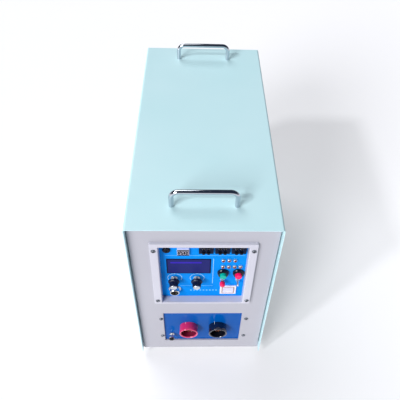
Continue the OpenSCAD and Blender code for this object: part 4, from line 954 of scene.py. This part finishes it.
@dataclass
class Cabinet:
    """Cover, tray, front and rear panels, feet and every screw that shows."""

    bezel_screw_x: float = 88.525
    bezel_screw_z: tuple[float, float] = (238.5, 406.5)
    window_screw_x: tuple[float, float] = (-86.5, 95.0)
    window_screw_z: tuple[float, float] = (75.25, 152.25)
    side_screw_y: tuple[float, ...] = (-220.0, 0.0, 220.0)
    side_screw_z: float = 28.5
    fan_screw: float = 52.5
    fan_z: float = 340.0
    half_wide: float = 135.0
    bezel_length: float = 13.0
    panel_length: float = 7.0
    guard_length: float = 12.0
    inner_bolts_from: float = 455.0

    def shell(self) -> None:
        """Dresses the sheet metal: softened cut edges catch the light as painted edges do."""
        dressed("cover", COVER_PAINT, 0.5)
        dressed("front_panel", PANEL_PAINT, 0.4)
        dressed("rear_panel", PANEL_PAINT, 0.4)
        dressed("base_tray", PANEL_PAINT, 0.3)
        dressed("rubber_feet", FOOT_RUBBER, 0.8)

    def screws(self) -> None:
        """Lays out the screws in four lots, each with its own length."""
        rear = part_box("fan_guard")[1].y
        middle = sum(corner.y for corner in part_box("cover")) / 2
        beside = ((-self.half_wide, Facing.LEFT), (self.half_wide, Facing.RIGHT))
        ends = (-self.fan_screw, self.fan_screw)
        bezel_sides = (-self.bezel_screw_x, self.bezel_screw_x)
        lots = {
            "bezel_screws": (
                self.bezel_length,
                front_spots("bezel_frame", product(bezel_sides, self.bezel_screw_z)),
            ),
            "window_screws": (
                self.panel_length,
                front_spots("front_panel", product(self.window_screw_x, self.window_screw_z)),
            ),
            "side_screws": (
                self.panel_length,
                [
                    Spot(Vector((x * MM, middle + y * MM, self.side_screw_z * MM)), way)
                    for x, way in beside
                    for y in self.side_screw_y
                ],
            ),
            "guard_screws": (
                self.guard_length,
                [
                    Spot(Vector((x * MM, rear, (self.fan_z + z) * MM)), Facing.REAR)
                    for x, z in product(ends, ends)
                ],
            ),
        }
        for name, (length, spots) in lots.items():
            maker = CrossScrews()
            layout = Repeat(name, spots, scatter_deg=45.0, seed=len(name))
            settle(layout.make(maker.blank(length), ZINC), "cabinet", ZINC)
            # each screw also gets dark bars in its cross recess: painted shade
            layout.name = name + "_recesses"
            settle(layout.make(maker.recess(), BLACK_OXIDE_AND_RECESS_SHADE), "cabinet", BLACK_OXIDE_AND_RECESS_SHADE)
        handle_bolts = clean_copy("machine_screws")
        settle(self.inner_bolts(handle_bolts), "cabinet", ZINC, ("machine_screws",))

    def inner_bolts(self, copy: Piece) -> Piece:
        """Keeps only the handles' bolts of the copied screws, under the cover's top.

        Args:
            copy: The copy of all screws, which is dropped.

        Returns:
            The bolts.
        """
        bm = bmesh.new()
        bm.from_mesh(copy.data)
        name = copy.name
        bpy.data.objects.remove(copy)
        gone = [v for v in bm.verts if v.co.z < self.inner_bolts_from * MM]
        bmesh.ops.delete(bm, geom=gone, context="VERTS")
        return object_from(name, bm)


@dataclass
class BarHandle:
    """A chromed bar handle bent from round bar; millimetres."""

    node: str
    span: float = 114.0
    bar: float = 8.98
    grip: float = 35.0
    bend: float = 13.5
    sides: int = 36
    steps: int = 14

    def path(self) -> list[Vector]:
        """Draws the bar's centre line: leg, bend, grip, bend and leg.

        Returns:
            Its points in millimetres.
        """
        half = self.span / 2
        points = [Vector((-half, 0, 0))]
        for i in range(self.steps + 1):
            turn = math.pi - math.pi / 2 * i / self.steps
            x = -half + self.bend + self.bend * math.cos(turn)
            points.append(Vector((x, 0, self.grip - self.bend + self.bend * math.sin(turn))))
        points += [Vector((-p.x, 0, p.z)) for p in reversed(points)]
        return points

    def make(self) -> None:
        """Sweeps the round bar along its centre line, one mesh, standing on the cover."""
        bm = bmesh.new()
        points = self.path()
        rings = []
        for i, point in enumerate(points):
            ahead = points[min(i + 1, len(points) - 1)] - points[max(i - 1, 0)]
            ahead.normalize()
            across = Vector((0, 1, 0))
            other = ahead.cross(across).normalized()
            ring = []
            for turn in (2 * math.pi * k / self.sides for k in range(self.sides)):
                wide, tall = self.bar / 2 * math.cos(turn), self.bar / 2 * math.sin(turn)
                ring.append(bm.verts.new((point + across * wide + other * tall) * MM))
            rings.append(ring)
        bridge(bm, rings)
        bm.faces.new(rings[0])
        bm.faces.new(rings[-1])
        bmesh.ops.recalc_face_normals(bm, faces=bm.faces)
        low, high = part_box(self.node)
        bm.transform(Matrix.Translation(Vector(((low.x + high.x) / 2, (low.y + high.y) / 2, low.z))))
        settle(object_from(self.node + "_chromed", bm), "cabinet", CHROME, (self.node,))


@dataclass
class Displays:
    """The large tinted window with a violet bar painted on it as a reflection, and the small digit display.
    """

    window: tuple[float, float, float, float] = (-27.0, 336.6, 83.0, 47.5)
    border: float = 2.2
    bar: tuple[float, float, float, float] = (-32.0, 349.0, 58.0, 4.2)
    digits: tuple[float, float] = (-36.8, 386.0)
    case: tuple[float, float] = (21.8, 18.0)
    digit_tall: float = 10.6
    digit_wide: float = 3.9
    stroke: float = 0.75
    digit_centres: tuple[float, ...] = (-7.5, -2.6, 2.6, 7.5)
    digit_drop: float = 0.4
    skin: float = 0.15
    lit_bars: tuple[tuple[int, ...], ...] = (
        (0, 2, 3, 4, 5, 6), (0, 1, 2, 4, 5), (0, 2, 3, 4, 5, 6), (0, 1, 2, 4, 6),
    )

    def large(self) -> None:
        """Dresses the window: dark border, indigo field and a violet bar on it, a painted reflection with a
        weak glow.
        """
        dressed("screen_window", WINDOW_FRAME, 0.15)
        x, z, w, h = self.window
        field, rim = 0.12, 2 * self.border
        inside = plate("window_field", w - rim, h - rim, field, on_front("screen_window", x, z), 0.4)
        settle(inside, "cabinet", WINDOW_TINT)
        # the violet bar is a painted reflection with a weak glow
        x, z, w, h = self.bar
        bar = plate("window_lit_bar", w, h, 0.1, on_front("screen_window", x, z, field), 0.3)
        settle(bar, "cabinet", PAINTED_REFLECTION_BAR)

    def small(self) -> None:
        """Dresses the digit display: white case, black face and four digits, each drawn with the bars it
        shows out of seven.
        """
        dressed("digit_display", WHITE_PLASTIC, 0.25)
        x, z = self.digits
        wide, tall = (side - 0.9 for side in self.case)
        panel = plate("digit_face", wide, tall, self.skin, on_front("digit_display", x, z), 0.3)
        settle(panel, "cabinet", DIGIT_FACE)
        places = []
        tall, wide = self.digit_tall, self.digit_wide
        bars = (
            (0, tall / 2, 0), (0, 0, 0), (0, -tall / 2, 0),
            (-wide / 2, tall / 4, 90), (wide / 2, tall / 4, 90),
            (-wide / 2, -tall / 4, 90), (wide / 2, -tall / 4, 90),
        )
        for middle, lit in zip(self.digit_centres, self.lit_bars):
            for dx, dz, turn in (bars[i] for i in lit):
                places.append((x + middle + dx, z - self.digit_drop + dz, turn))
        spots = front_spots("digit_display", places, self.skin)
        line = self.stroke
        bar = plate("digit_bar_blank", wide - line, line, 0.05, Matrix.Identity(4), line / 2.2, 3)
        settle(Repeat("digit_bars", spots).make(bar, DIGIT_BAR), "cabinet", DIGIT_BAR)


@dataclass
class ControlPlate:
    """The printed plate at the bottom of the recess and the bezel in front of it."""

    line: float = 0.7
    arc_radius: float = 13.0
    arc_width: float = 0.8
    arc_reach: float = 118.0
    knob_x: tuple[float, float] = (-54.2, -11.2)
    knob_z: float = 297.0
    tick_count: int = 11
    tick_reach: float = 2.2
    tick_half_deg: float = 1.4
    rule: float = 0.6
    dot: float = 3.3
    dots: tuple[float, float, int, float] = (-23.2, 251.9, 9, 6.3)

    def stroke(self, name: str, x0: float, z0: float, x1: float, z1: float, width: float) -> Piece:
        """Prints a straight line on the plate.

        Args:
            name: The line's name.
            x0: Start across.
            z0: Start height.
            x1: End across.
            z1: End height.
            width: Width of the line.

        Returns:
            The line, raised by the ink's thickness.
        """
        across = max(abs(x1 - x0), width)
        along = max(abs(z1 - z0), width)
        place = on_front("control_plate", (x0 + x1) / 2, (z0 + z1) / 2)
        return plate(name, across, along, INK, place, width / 2.2, 3)

    def scale(self, x: float) -> Piece:
        """Prints the arc and ticks about a knob, open at the foot.

        Args:
            x: The knob's place across.

        Returns:
            The scale.
        """
        bm = bmesh.new()
        near, reach, half = self.arc_radius, self.arc_reach, self.tick_half_deg
        bands = [(near, near + self.arc_width, -reach, reach, 56)]
        for i in range(self.tick_count):
            middle = reach * (2 * i / (self.tick_count - 1) - 1)
            bands.append((near + self.arc_width, near + self.tick_reach, middle - half, middle + half, 1))
        for inner, outer, start, end, steps in bands:
            sections = []
            for i in range(steps + 1):
                turn = math.radians(90 - (start + (end - start) * i / steps))
                section = ((inner, INK), (outer, INK), (outer, 0.0), (inner, 0.0))
                sections.append(
                    [
                        bm.verts.new((r * MM * math.cos(turn), r * MM * math.sin(turn), height * MM))
                        for r, height in section
                    ]
                )
            bridge(bm, sections)
            bm.faces.new(sections[0])
            bm.faces.new(sections[-1])
        bmesh.ops.recalc_face_normals(bm, faces=bm.faces)
        bm.transform(on_front("control_plate", x, self.knob_z))
        return object_from("knob_scale", bm)

    def make(self) -> None:
        """Dresses the bezel and the plate and lays its print."""
        dressed("bezel_frame", BEZEL_PAINT, 0.25)
        dressed("control_plate", PLATE_FILM, 0.1)
        white = [
            self.stroke("divider", 19, 277, 19, 361, self.line),
            *[self.scale(x) for x in self.knob_x],
        ]
        settle(joined("plate_print_white", white), "cabinet", PRINT_WHITE)
        x, z, count, step = self.dots
        faint = [
            self.stroke("upper_rule", -70, 371, 77, 371, self.rule),
            self.stroke("lower_rule", -45, 268.5, 20, 268.5, self.rule),
            *[self.stroke("dot", x + i * step, z, x + i * step, z, self.dot) for i in range(count)],
        ]
        settle(joined("plate_print_pale", faint), "cabinet", PRINT_FAINT)


@dataclass
class DialSwitches:
    """Three two-digit dial switches with number wheels and their buttons."""

    first_x: float = 4.6
    pitch: float = 29.6
    digit_pitch: float = 9.0
    middle_z: float = 393.6
    numeral_tall: float = 5.2
    shown: tuple[str, ...] = ("0", "0", "2", "5", "1", "0")

    def make(self) -> None:
        """Dresses cases, wheels and buttons, and inks a number in each window."""
        dressed("dial_switch_cases", DARK_PLASTIC, 0.2)
        dressed("number_wheels", WHEEL_WHITE)
        for dial in (1, 2, 3):
            for digit in ("tens", "units"):
                for way in ("plus", "minus"):
                    dressed(f"dial_{dial}_{digit}_{way}", BLACK_PLASTIC, 0.25)
        self.numerals()

    def numerals(self) -> None:
        """Inks a number on each wheel, as on any dial."""
        marks = []
        for i, numeral in enumerate(self.shown):
            curve = bpy.data.curves.new("numeral", "FONT")
            curve.body = numeral
            curve.size = self.numeral_tall * 1.35 * MM
            curve.align_x = "CENTER"
            curve.align_y = "CENTER"
            curve.extrude = 0.02 * MM
            text = linked("numeral", curve)
            mesh = evaluated(text)
            bpy.data.objects.remove(text)
            x = self.first_x + (i // 2) * self.pitch + (-1 if i % 2 == 0 else 1) * self.digit_pitch / 2
            mesh.transform(on_front("number_wheels", x, self.middle_z, 0.01))
            marks.append(linked("numeral", mesh))
        settle(joined("wheel_numerals", marks), "cabinet", WHEEL_INK)


@dataclass
class Knob:
    """A fluted control knob with a turned cap and a white pointer; millimetres from the plate."""

    side: str
    skirt: float = 21.9
    body: float = 16.6
    cap: float = 13.0
    standoff: float = 8.0
    skirt_tall: float = 4.0
    proud: float = 23.0
    cap_tall: float = 1.2
    flutes: int = 18
    flute: float = 0.8
    spindle: float = 6.0
    spindle_back: float = 6.2

    def make(self) -> None:
        """Builds the moulded body, the spindle, the cap and the pointer of one knob."""
        body = node = f"{self.side}_knob"
        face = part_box("control_plate")[0].y
        low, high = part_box(node)
        x, z = (low.x + high.x) / 2, (low.z + high.z) / 2
        place = out_of(Facing.FRONT, (x, face, z))
        moulded = self.moulding(place)
        settle(moulded, body, KNOB_PLASTIC, (node,))
        thin, back, front = self.spindle / 2, -self.spindle_back, self.standoff + 2
        outline = [(0, back), (thin, back), (thin, front), (0, front)]
        spindle = lathe(f"{self.side}_spindle", outline, place, 40)
        settle(spindle, body, NICKEL)
        top, r = self.proud, self.cap / 2
        foot = top - self.cap_tall - 0.3
        cap = lathe(
            f"{self.side}_knob_cap",
            [
                (0, foot), (r, foot), (r, top - 0.45), (r - 0.45, top),
                (r - 1.3, top), (r - 1.6, top - 0.15), (0, top - 0.15),
            ],
            place,
            56,
        )
        finish = Turned(
            f"turned_aluminium_cap_{self.side}", "#D2D6DC", 0.20, metallic=1.0,
            centre=(x, 0.0, z),
        )
        settle(cap, body, finish)
        skirt_top = Vector((0, self.body / 2 + 0.35, self.standoff + self.skirt_tall))
        place = place @ Matrix.Translation(skirt_top * MM)
        pointer = plate(f"{self.side}_knob_pointer", 0.9, 2.6, 0.06, place, 0.3, 3)
        settle(pointer, body, PRINT_WHITE)

    def moulding(self, place: Matrix) -> Piece:
        """Builds the fluted body: the profile's radius dips at each flute along its upper part.

        Args:
            place: Where it goes, its zero on the plate.

        Returns:
            The body.
        """
        base, top = self.standoff, self.proud - self.cap_tall
        skirt, r = self.skirt / 2, self.body / 2
        profile = [
            (5.4, base), (skirt - 0.8, base), (skirt - 0.25, base + 0.3), (skirt, base + 0.9),
            (skirt, base + 2.2), (skirt - 0.6, base + 3.2), (r + 1.0, base + self.skirt_tall + 0.2),
            (r + 0.35, base + self.skirt_tall + 1.4), (r, base + self.skirt_tall + 3.0),
            (r - 0.35, top - 1.6), (r - 0.55, top - 0.9), (r - 1.0, top - 0.3), (r - 1.7, top), (0, top),
        ]
        fluted_from = 7
        steps = self.flutes * 8
        bm = bmesh.new()
        rings = []
        for n, (radius, height) in enumerate(profile):
            if radius < ON_AXIS:
                rings.append([bm.verts.new((0, 0, height * MM))])
                continue
            ring = []
            for i in range(steps):
                turn = 2 * math.pi * i / steps
                wave = 0.5 - 0.5 * math.cos(self.flutes * turn)
                dip = self.flute * wave ** 2 if fluted_from <= n < len(profile) - 2 else 0.0
                reach = (radius - dip) * MM
                ring.append(bm.verts.new((reach * math.cos(turn), reach * math.sin(turn), height * MM)))
            rings.append(ring)
        bridge(bm, rings)
        inner = [bm.verts.new(v.co + Vector((0, 0, 1.5 * MM))) for v in rings[0]]
        for i in range(steps):
            j = (i + 1) % steps
            bm.faces.new((rings[0][j], rings[0][i], inner[i], inner[j]))
        bm.faces.new(inner)
        bmesh.ops.recalc_face_normals(bm, faces=bm.faces)
        bm.transform(place)
        return object_from(f"{self.side}_knob_moulding", bm, 50.0)


@dataclass
class SmallControls:
    """Potentiometers' bushes, push buttons, lamps, toggles, power switch, socket and buzzer."""

    lamps: tuple[tuple[float, float], ...] = (
        (37.0, 358.0), (48.0, 358.0), (59.0, 358.0),
        (37.0, 337.5), (48.0, 337.5), (59.0, 337.5), (70.0, 337.5),
    )
    cap: float = 12.5
    cap_proud: float = 12.5
    ring: float = 22.0
    ring_tall: float = 7.4
    push_x: tuple[float, float] = (38.3, 67.5)
    push_z: float = 316.5
    socket: tuple[float, float] = (-55.0, 258.0)
    pin_ring: float = 4.0
    pin_deep: float = 2.9
    seal_size: tuple[float, float, float] = (22.4, 20.6, 1.3)
    pivot: float = 3.0
    toggle_z: float = 293.5
    sleeve_d: float = 10.2
    sleeve_foot: float = 3.3
    sleeve_top: float = 13.6

    def lamp_rows(self) -> None:
        """Lays out the seven lamps: a rolled bright bezel and a domed lens."""
        spots = front_spots("control_plate", self.lamps)
        bezel = lathe(
            "lamp_bezel_blank",
            [
                (2.52, -7), (3.2, -7), (3.2, 0), (4, 0), (4, 1.4), (3.9, 2.1), (3.55, 3.1), (3.3, 3.75),
                (3.0, 4.0), (2.7, 3.9), (2.52, 3.5),
            ],
            Matrix.Identity(4),
            36,
        )
        laid = Repeat("lamp_bezels_bright", spots).make(bezel, SATIN_NICKEL)
        settle(laid, "cabinet", SATIN_NICKEL, ("lamp_bezels",))
        dome = [(0, -7), (2.45, -7), (2.45, 3.6)]
        dome += [(2.45 * math.cos(a), 3.6 + 2.4 * math.sin(a)) for a in (0.3, 0.6, 0.9, 1.2, 1.4)]
        lens = lathe("lamp_lens_blank", [*dome, (0, 6.0)], Matrix.Identity(4), 32)
        laid = Repeat("lamp_lenses_red", spots).make(lens, LAMP_RED)
        settle(laid, "cabinet", LAMP_RED, ("lamp_lenses",))

    def push_buttons(self) -> None:
        """Builds the two caps and dresses the switch bodies with their rings."""
        dressed("push_switch_bodies", RING_PLASTIC, 0.35)
        for name, x, finish in (
            ("start_button", self.push_x[0], GREEN_CAP),
            ("stop_button", self.push_x[1], RED_CAP),
        ):
            place = on_front("control_plate", x, self.push_z)
            r, top = self.cap / 2, self.cap_proud
            cap = lathe(
                name + "_cap",
                [
                    (0, -8.7), (r, -8.7), (r, top - 1.0), (r - 0.3, top - 0.45), (r - 0.9, top - 0.15),
                    (r - 1.6, top - 0.1), (r - 2.2, top - 0.35), (r - 3.5, top - 0.5), (0, top - 0.55),
                ],
                place,
                56,
            )
            settle(cap, name, finish, (name,))
            rim, hole, tall = self.ring / 2, self.cap / 2 + 0.35, self.ring_tall
            ring = lathe(
                name + "_ring",
                [
                    (hole, 3.9), (rim - 0.9, 3.9), (rim - 1.0, tall - 1.6), (rim - 1.5, tall - 0.5),
                    (rim - 2.4, tall), (hole + 0.7, tall - 0.4), (hole, tall - 1.2),
                ],
                place,
                64,
            )
            settle(ring, "cabinet", RING_PLASTIC)

    def rest(self) -> None:
        """Dresses the toggles, the power switch, the socket, the buzzer and the bushes."""
        dressed("potentiometers", SATIN_NICKEL, 0.15)
        dressed("toggle_switch_bodies", SATIN_NICKEL, 0.15)
        dressed("left_toggle_lever", SATIN_NICKEL)
        dressed("right_toggle_lever", SATIN_NICKEL)
        self.sleeve()
        dressed("power_switch_frame", WHITE_PLASTIC, 0.4)
        dressed("power_rocker", ROCKER_PLASTIC, 0.4)
        self.seal()
        dressed("foot_switch_socket", CHROME, 0.2)
        dressed("socket_insert", BLACK_PLASTIC, 0.15)
        dressed("alarm_buzzer", BLACK_PLASTIC, 0.3)
        self.pins()

    def sleeve(self) -> None:
        """The soft red sleeve pulled over the left lever, a dipped capsule along the lever's own axis."""
        low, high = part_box("left_lever_sleeve")
        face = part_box("control_plate")[0].y
        pivot = Vector(((low.x + high.x) / 2, face - self.pivot * MM, self.toggle_z * MM))
        axis = ((low + high) / 2 - pivot).normalized()
        place = Matrix.Translation(pivot) @ axis.to_track_quat("Z", "Y").to_matrix().to_4x4()
        r, foot, top = self.sleeve_d / 2, self.sleeve_foot, self.sleeve_top
        cover = lathe(
            "left_lever_sleeve_dipped",
            [
                (2.4, foot + 0.6), (2.7, foot), (r * 0.78, foot + 0.2), (r * 0.94, foot + 1.6),
                (r, foot + 3.2), (r, top - 3.0), (r * 0.93, top - 1.5), (r * 0.76, top - 0.6),
                (r * 0.45, top - 0.12), (0, top), (0, top - 0.8), (2.4, top - 1.0),
            ],
            place,
            48,
            60.0,
        )
        settle(cover, BODY_OF["left_lever_sleeve"], RED_SLEEVE, ("left_lever_sleeve",))

    def seal(self) -> None:
        """The amber seal that shows as a thin line round the rocker, on its frame."""
        low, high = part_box("power_switch_frame")
        place = out_of(Facing.FRONT, ((low.x + high.x) / 2, low.y, (low.z + high.z) / 2))
        wide, tall, band = self.seal_size
        bm = bmesh.new()
        loops = []
        for grow in (0.0, band):
            loops.append(rounded(wide / 2 + grow, tall / 2 + grow, 1.2 + grow, 6))
        rings = [
            [bm.verts.new((x * MM, y * MM, z * MM)) for x, y in loops[n]]
            for n, z in ((0, 0.0), (0, 0.25), (1, 0.25), (1, 0.0))
        ]
        bridge(bm, rings, closed=True)
        bmesh.ops.recalc_face_normals(bm, faces=bm.faces)
        bm.transform(place)
        settle(object_from("rocker_seal", bm), "cabinet", AMBER_SEAL)

    def pins(self) -> None:
        """The socket's plated contacts, one in each hole of the insert."""
        x, z = self.socket
        places = []
        for turn in (math.radians(45 + 90 * i) for i in range(4)):
            places.append((x + self.pin_ring * math.cos(turn), z + self.pin_ring * math.sin(turn)))
        spots = front_spots("socket_insert", places, -self.pin_deep)
        outline = [(0, 0), (0.75, 0), (0.75, 5.4), (0.5, 6.1), (0, 6.4)]
        pin = lathe("pin_blank", outline, Matrix.Identity(4), 20)
        settle(Repeat("socket_pins", spots).make(pin, BRASS), "cabinet", BRASS)


@dataclass
class OutputWindow:
    """The glossy plate with the two output terminals, their unions and the earth post."""

    middle_x: float = 3.75
    pitch: float = 63.5
    z: float = 111.5
    outer: float = 40.0
    bore: float = 33.0
    proud: float = 18.0
    earth: tuple[float, float] = (-65.75, 79.0)
    rib_count: int = 24
    rib_middle: float = 11.3

    def terminal(self, node: str, x: float, finish: Finish, bore_shade: Finish) -> None:
        """Turns one terminal: open cup in front, neck and nut behind, and a darker lining in its bore that is
        painted shade.

        Args:
            node: The terminal's solid.
            x: Its place across.
            finish: Surface of the cup.
            bore_shade: Painted shade on the bore's wall.
        """
        place = on_front("output_plate", x, self.z)
        r, b, h = self.outer / 2, self.bore / 2, self.proud
        hole, neck, nut_reach, back, nut_front = 7.2, 13.0, 17.0, -10.0, -4.0
        cup = lathe(
            node + "_cup",
            [
                (hole, back), (neck, back), (neck, 0), (r, 0), (r, h - 1.1), (r - 0.15, h - 0.55),
                (r - 0.5, h - 0.15), (r - 1.0, h), (b + 1.25, h), (b + 0.75, h - 0.2), (b, h - 1.3),
                (b, 3.4), (b - 0.4, 3), (hole, 3),
            ],
            place,
            96,
        )
        outline = [(neck, back), (nut_reach, back), (nut_reach, nut_front), (neck, nut_front)]
        nut = lathe(node + "_nut", outline, place, 6, 20.0)
        settle(joined(node + "_turned", [cup, nut]), "cabinet", finish, (node,))
        # the lining is painted shade: a darker copy of the cup's plastic inside the bore
        outline = [(b - 0.2, h - 1.9), (b + 0.1, h - 1.6), (b + 0.1, 3.3), (b - 0.2, 3.3)]
        liner = lathe(node + "_bore", outline, place, 96)
        settle(liner, "cabinet", bore_shade)

    def make(self) -> None:
        """Dresses the plate, the unions and the earth post, and turns both terminals."""
        dressed("output_plate", OUTPUT_ACRYLIC, 0.2)
        self.terminal("red_terminal", self.middle_x - self.pitch / 2, RED_INSULATOR, RED_BORE_PAINTED_SHADE)
        self.terminal("black_terminal", self.middle_x + self.pitch / 2, BLACK_INSULATOR, BLACK_BORE_PAINTED_SHADE)
        dressed("output_unions", UNION_COPPER, 0.3)
        self.earth_stud()

    def earth_stud(self) -> None:
        """Turns the earth post: nickelled stud, seat and knurled thumb nut, and a black cap on its end."""
        x, z = self.earth
        place = on_front("output_plate", x, z)
        seat = lathe("earth_seat", [(0, 0), (5.5, 0), (5.5, 2.6), (5.1, 3), (0, 3)], place, 6, 20.0)
        stud = lathe("earth_stud", [(0, -12), (2.95, -12), (2.95, 10.2), (0, 10.2)], place, 48)
        outline = [(0, 9.6), (5.2, 9.6), (5.5, 10.0), (5.5, 12.6), (0, 12.6)]
        thumb = lathe("earth_thumb_nut", outline, place, 48)
        dark = lathe(
            "earth_nut_cap",
            [(0, 12.6), (5.4, 12.6), (5.4, 14.4), (5.0, 15), (2.5, 15), (2.5, 12.9), (0, 12.9)],
            place,
            48,
        )
        bright = joined("earth_stud_nickelled", [seat, stud, thumb])
        settle(bright, "cabinet", SATIN_NICKEL, ("earth_post",))
        settle(dark, "cabinet", BLACK_OXIDE_AND_RECESS_SHADE)
        turns = [(x, z, 360.0 * i / self.rib_count) for i in range(self.rib_count)]
        ribs = front_spots("output_plate", turns, self.rib_middle)
        place = Matrix.Translation(Vector((5.65, 0, -1.2)) * MM)
        rib = plate("knurl_rib", 0.55, 0.5, 2.4, place, 0.12, 2)
        settle(Repeat("earth_nut_knurl", ribs).make(rib, SATIN_NICKEL), "cabinet", SATIN_NICKEL)


@dataclass
class RearAndInside:
    """What the rear shows, and what stands on the tray behind the panels."""

    def make(self) -> None:
        """Dresses the fan, the fittings and the inner works."""
        dressed("fan_frame", BLACK_PLASTIC, 0.4)
        dressed("fan_rotor", DARK_PLASTIC, 0.2)
        dressed("fan_guard", CHROME)
        dressed("water_nipples", BRASS, 0.2)
        dressed("cable_gland", BLACK_PLASTIC, 0.3)
        dressed("transformer_core", FERRITE, 0.6)
        dressed("transformer_winding", COPPER, 0.4)
        dressed("capacitor_bank", FILM_CAPACITOR, 0.6)
        dressed("heat_sink", ALUMINIUM, 0.3)
        dressed("power_modules", MODULE_CASE, 0.5)
        dressed("circuit_boards", BOARD_GREEN)
        dressed("cooling_hoses", HOSE_RUBBER)


@dataclass
class Studio:
    """Pale floor, soft light and the photograph's camera; millimetres and degrees."""

    eye: tuple[float, float, float] = (-14.7, -501.4, 1099.9)
    yaw: float = 3.64
    pitch: float = 46.83
    roll: float = 3.13
    focal_px: float = 483.2
    image_px: float = 400.0
    sensor: float = 36.0
    far: float = 50.0
    floor_reach: float = 9.0
    principal: tuple[float, float] = (217.0, 187.2)
    horizon: float = 0.02
    horizon_tint: str = "#DDE3EE"
    ceiling: float = 0.42
    ceiling_tint: str = "#4C5B76"
    surround: float = 0.34
    floor_glow: float = 0.38

    def camera(self) -> None:
        """Sets the camera that was solved from the cabinet's corners."""
        yaw, pitch, roll = (math.radians(a) for a in (self.yaw, self.pitch, self.roll))
        ahead = Vector((math.sin(yaw) * math.cos(pitch), math.cos(yaw) * math.cos(pitch), -math.sin(pitch)))
        right = Vector((math.cos(yaw), -math.sin(yaw), 0))
        up = right.cross(ahead)
        turned = right * math.cos(roll) + up * math.sin(roll)
        upright = up * math.cos(roll) - right * math.sin(roll)
        data = bpy.data.cameras.new("photograph")
        data.sensor_fit = "HORIZONTAL"
        data.sensor_width = self.sensor
        data.lens = self.sensor * self.focal_px / self.image_px
        data.shift_x = 0.5 - self.principal[0] / self.image_px
        data.shift_y = self.principal[1] / self.image_px - 0.5
        data.clip_end = self.far
        eye = linked("photograph", data)
        place = Vector(self.eye) * MM + Vector((0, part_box("front_panel")[0].y, 0))
        eye.matrix_world = Matrix.Translation(place) @ Matrix(
            (
                (turned.x, upright.x, -ahead.x, 0),
                (turned.y, upright.y, -ahead.y, 0),
                (turned.z, upright.z, -ahead.z, 0),
                (0, 0, 0, 1),
            )
        )
        bpy.context.scene.camera = eye

    def floor(self) -> None:
        """A wide pale floor under the feet."""
        bm = bmesh.new()
        bmesh.ops.create_grid(bm, x_segments=1, y_segments=1, size=self.floor_reach)
        sheet = object_from("studio_floor", bm)
        paper = bpy.data.materials.new("studio_paper_white")
        paper.use_nodes = True
        shader = paper.node_tree.nodes["Principled BSDF"]
        for name, value in {
            "Base Color": linear("#CFCFD3"),
            "Roughness": 0.9,
            "Emission Color": linear("#FFFFFF"),
            "Emission Strength": self.floor_glow,
        }.items():
            shader.inputs[name].default_value = value
        sheet.data.materials.append(paper)

    def daylight(self, name: str, toward: Sequence[float], strength: float, spread_deg: float) -> None:
        """Adds far window light, which is even over the whole floor.

        Args:
            name: The light's name.
            toward: Direction from the machine to the light.
            strength: Watts a square metre.
            spread_deg: How wide the light looks, which sets how soft its shadows are.
        """
        data = bpy.data.lights.new(name, "SUN")
        data.energy = strength
        data.angle = math.radians(spread_deg)
        light = linked(name, data)
        light.rotation_euler = Vector(toward).to_track_quat("Z", "Y").to_euler()

    def sky(self) -> None:
        """A surround with a pale horizon and a dim blue-grey ceiling for the chrome to mirror."""
        world = bpy.data.worlds.new("studio_surround")
        bpy.context.scene.world = world
        world.use_nodes = True
        tree = world.node_tree
        tree.nodes.clear()
        place = add(tree, "ShaderNodeTexCoord")
        split = add(tree, "ShaderNodeSeparateXYZ", {0: place.outputs["Generated"]})
        ramp = add(tree, "ShaderNodeValToRGB", {"Fac": split.outputs["Z"]})
        ramp.color_ramp.elements[0].position = self.horizon
        ramp.color_ramp.elements[0].color = linear(self.horizon_tint)
        ramp.color_ramp.elements[1].position = self.ceiling
        ramp.color_ramp.elements[1].color = linear(self.ceiling_tint)
        light = add(tree, "ShaderNodeBackground", {"Color": ramp.outputs["Color"], "Strength": self.surround})
        add(tree, "ShaderNodeOutputWorld", {"Surface": light.outputs["Background"]})

    def make(self) -> None:
        """Builds the studio."""
        self.camera()
        self.floor()
        self.sky()
        self.daylight("key_daylight", (-0.50, -0.72, 0.42), 2.5, 24.0)
        self.daylight("tube_glare", (-0.617, -0.448, 0.647), 1.05, 5.0)
        self.daylight("window_behind_left", (-0.35, 0.45, 0.85), 1.4, 40.0)
        scene = bpy.context.scene
        scene.view_settings.view_transform = "Standard"
        scene.view_settings.look = "None"


def main() -> None:
    """Builds the studio and every sub-assembly in order."""
    logging.basicConfig(level=logging.INFO, format="%(name)s: %(message)s")
    Studio().make()
    cabinet = Cabinet()
    cabinet.shell()
    cabinet.screws()
    BarHandle("front_handle").make()
    BarHandle("rear_handle").make()
    ControlPlate().make()
    displays = Displays()
    displays.large()
    displays.small()
    DialSwitches().make()
    Knob("left").make()
    Knob("right").make()
    controls = SmallControls()
    controls.lamp_rows()
    controls.push_buttons()
    controls.rest()
    OutputWindow().make()
    RearAndInside().make()


if __name__ == "__main__":
    main()
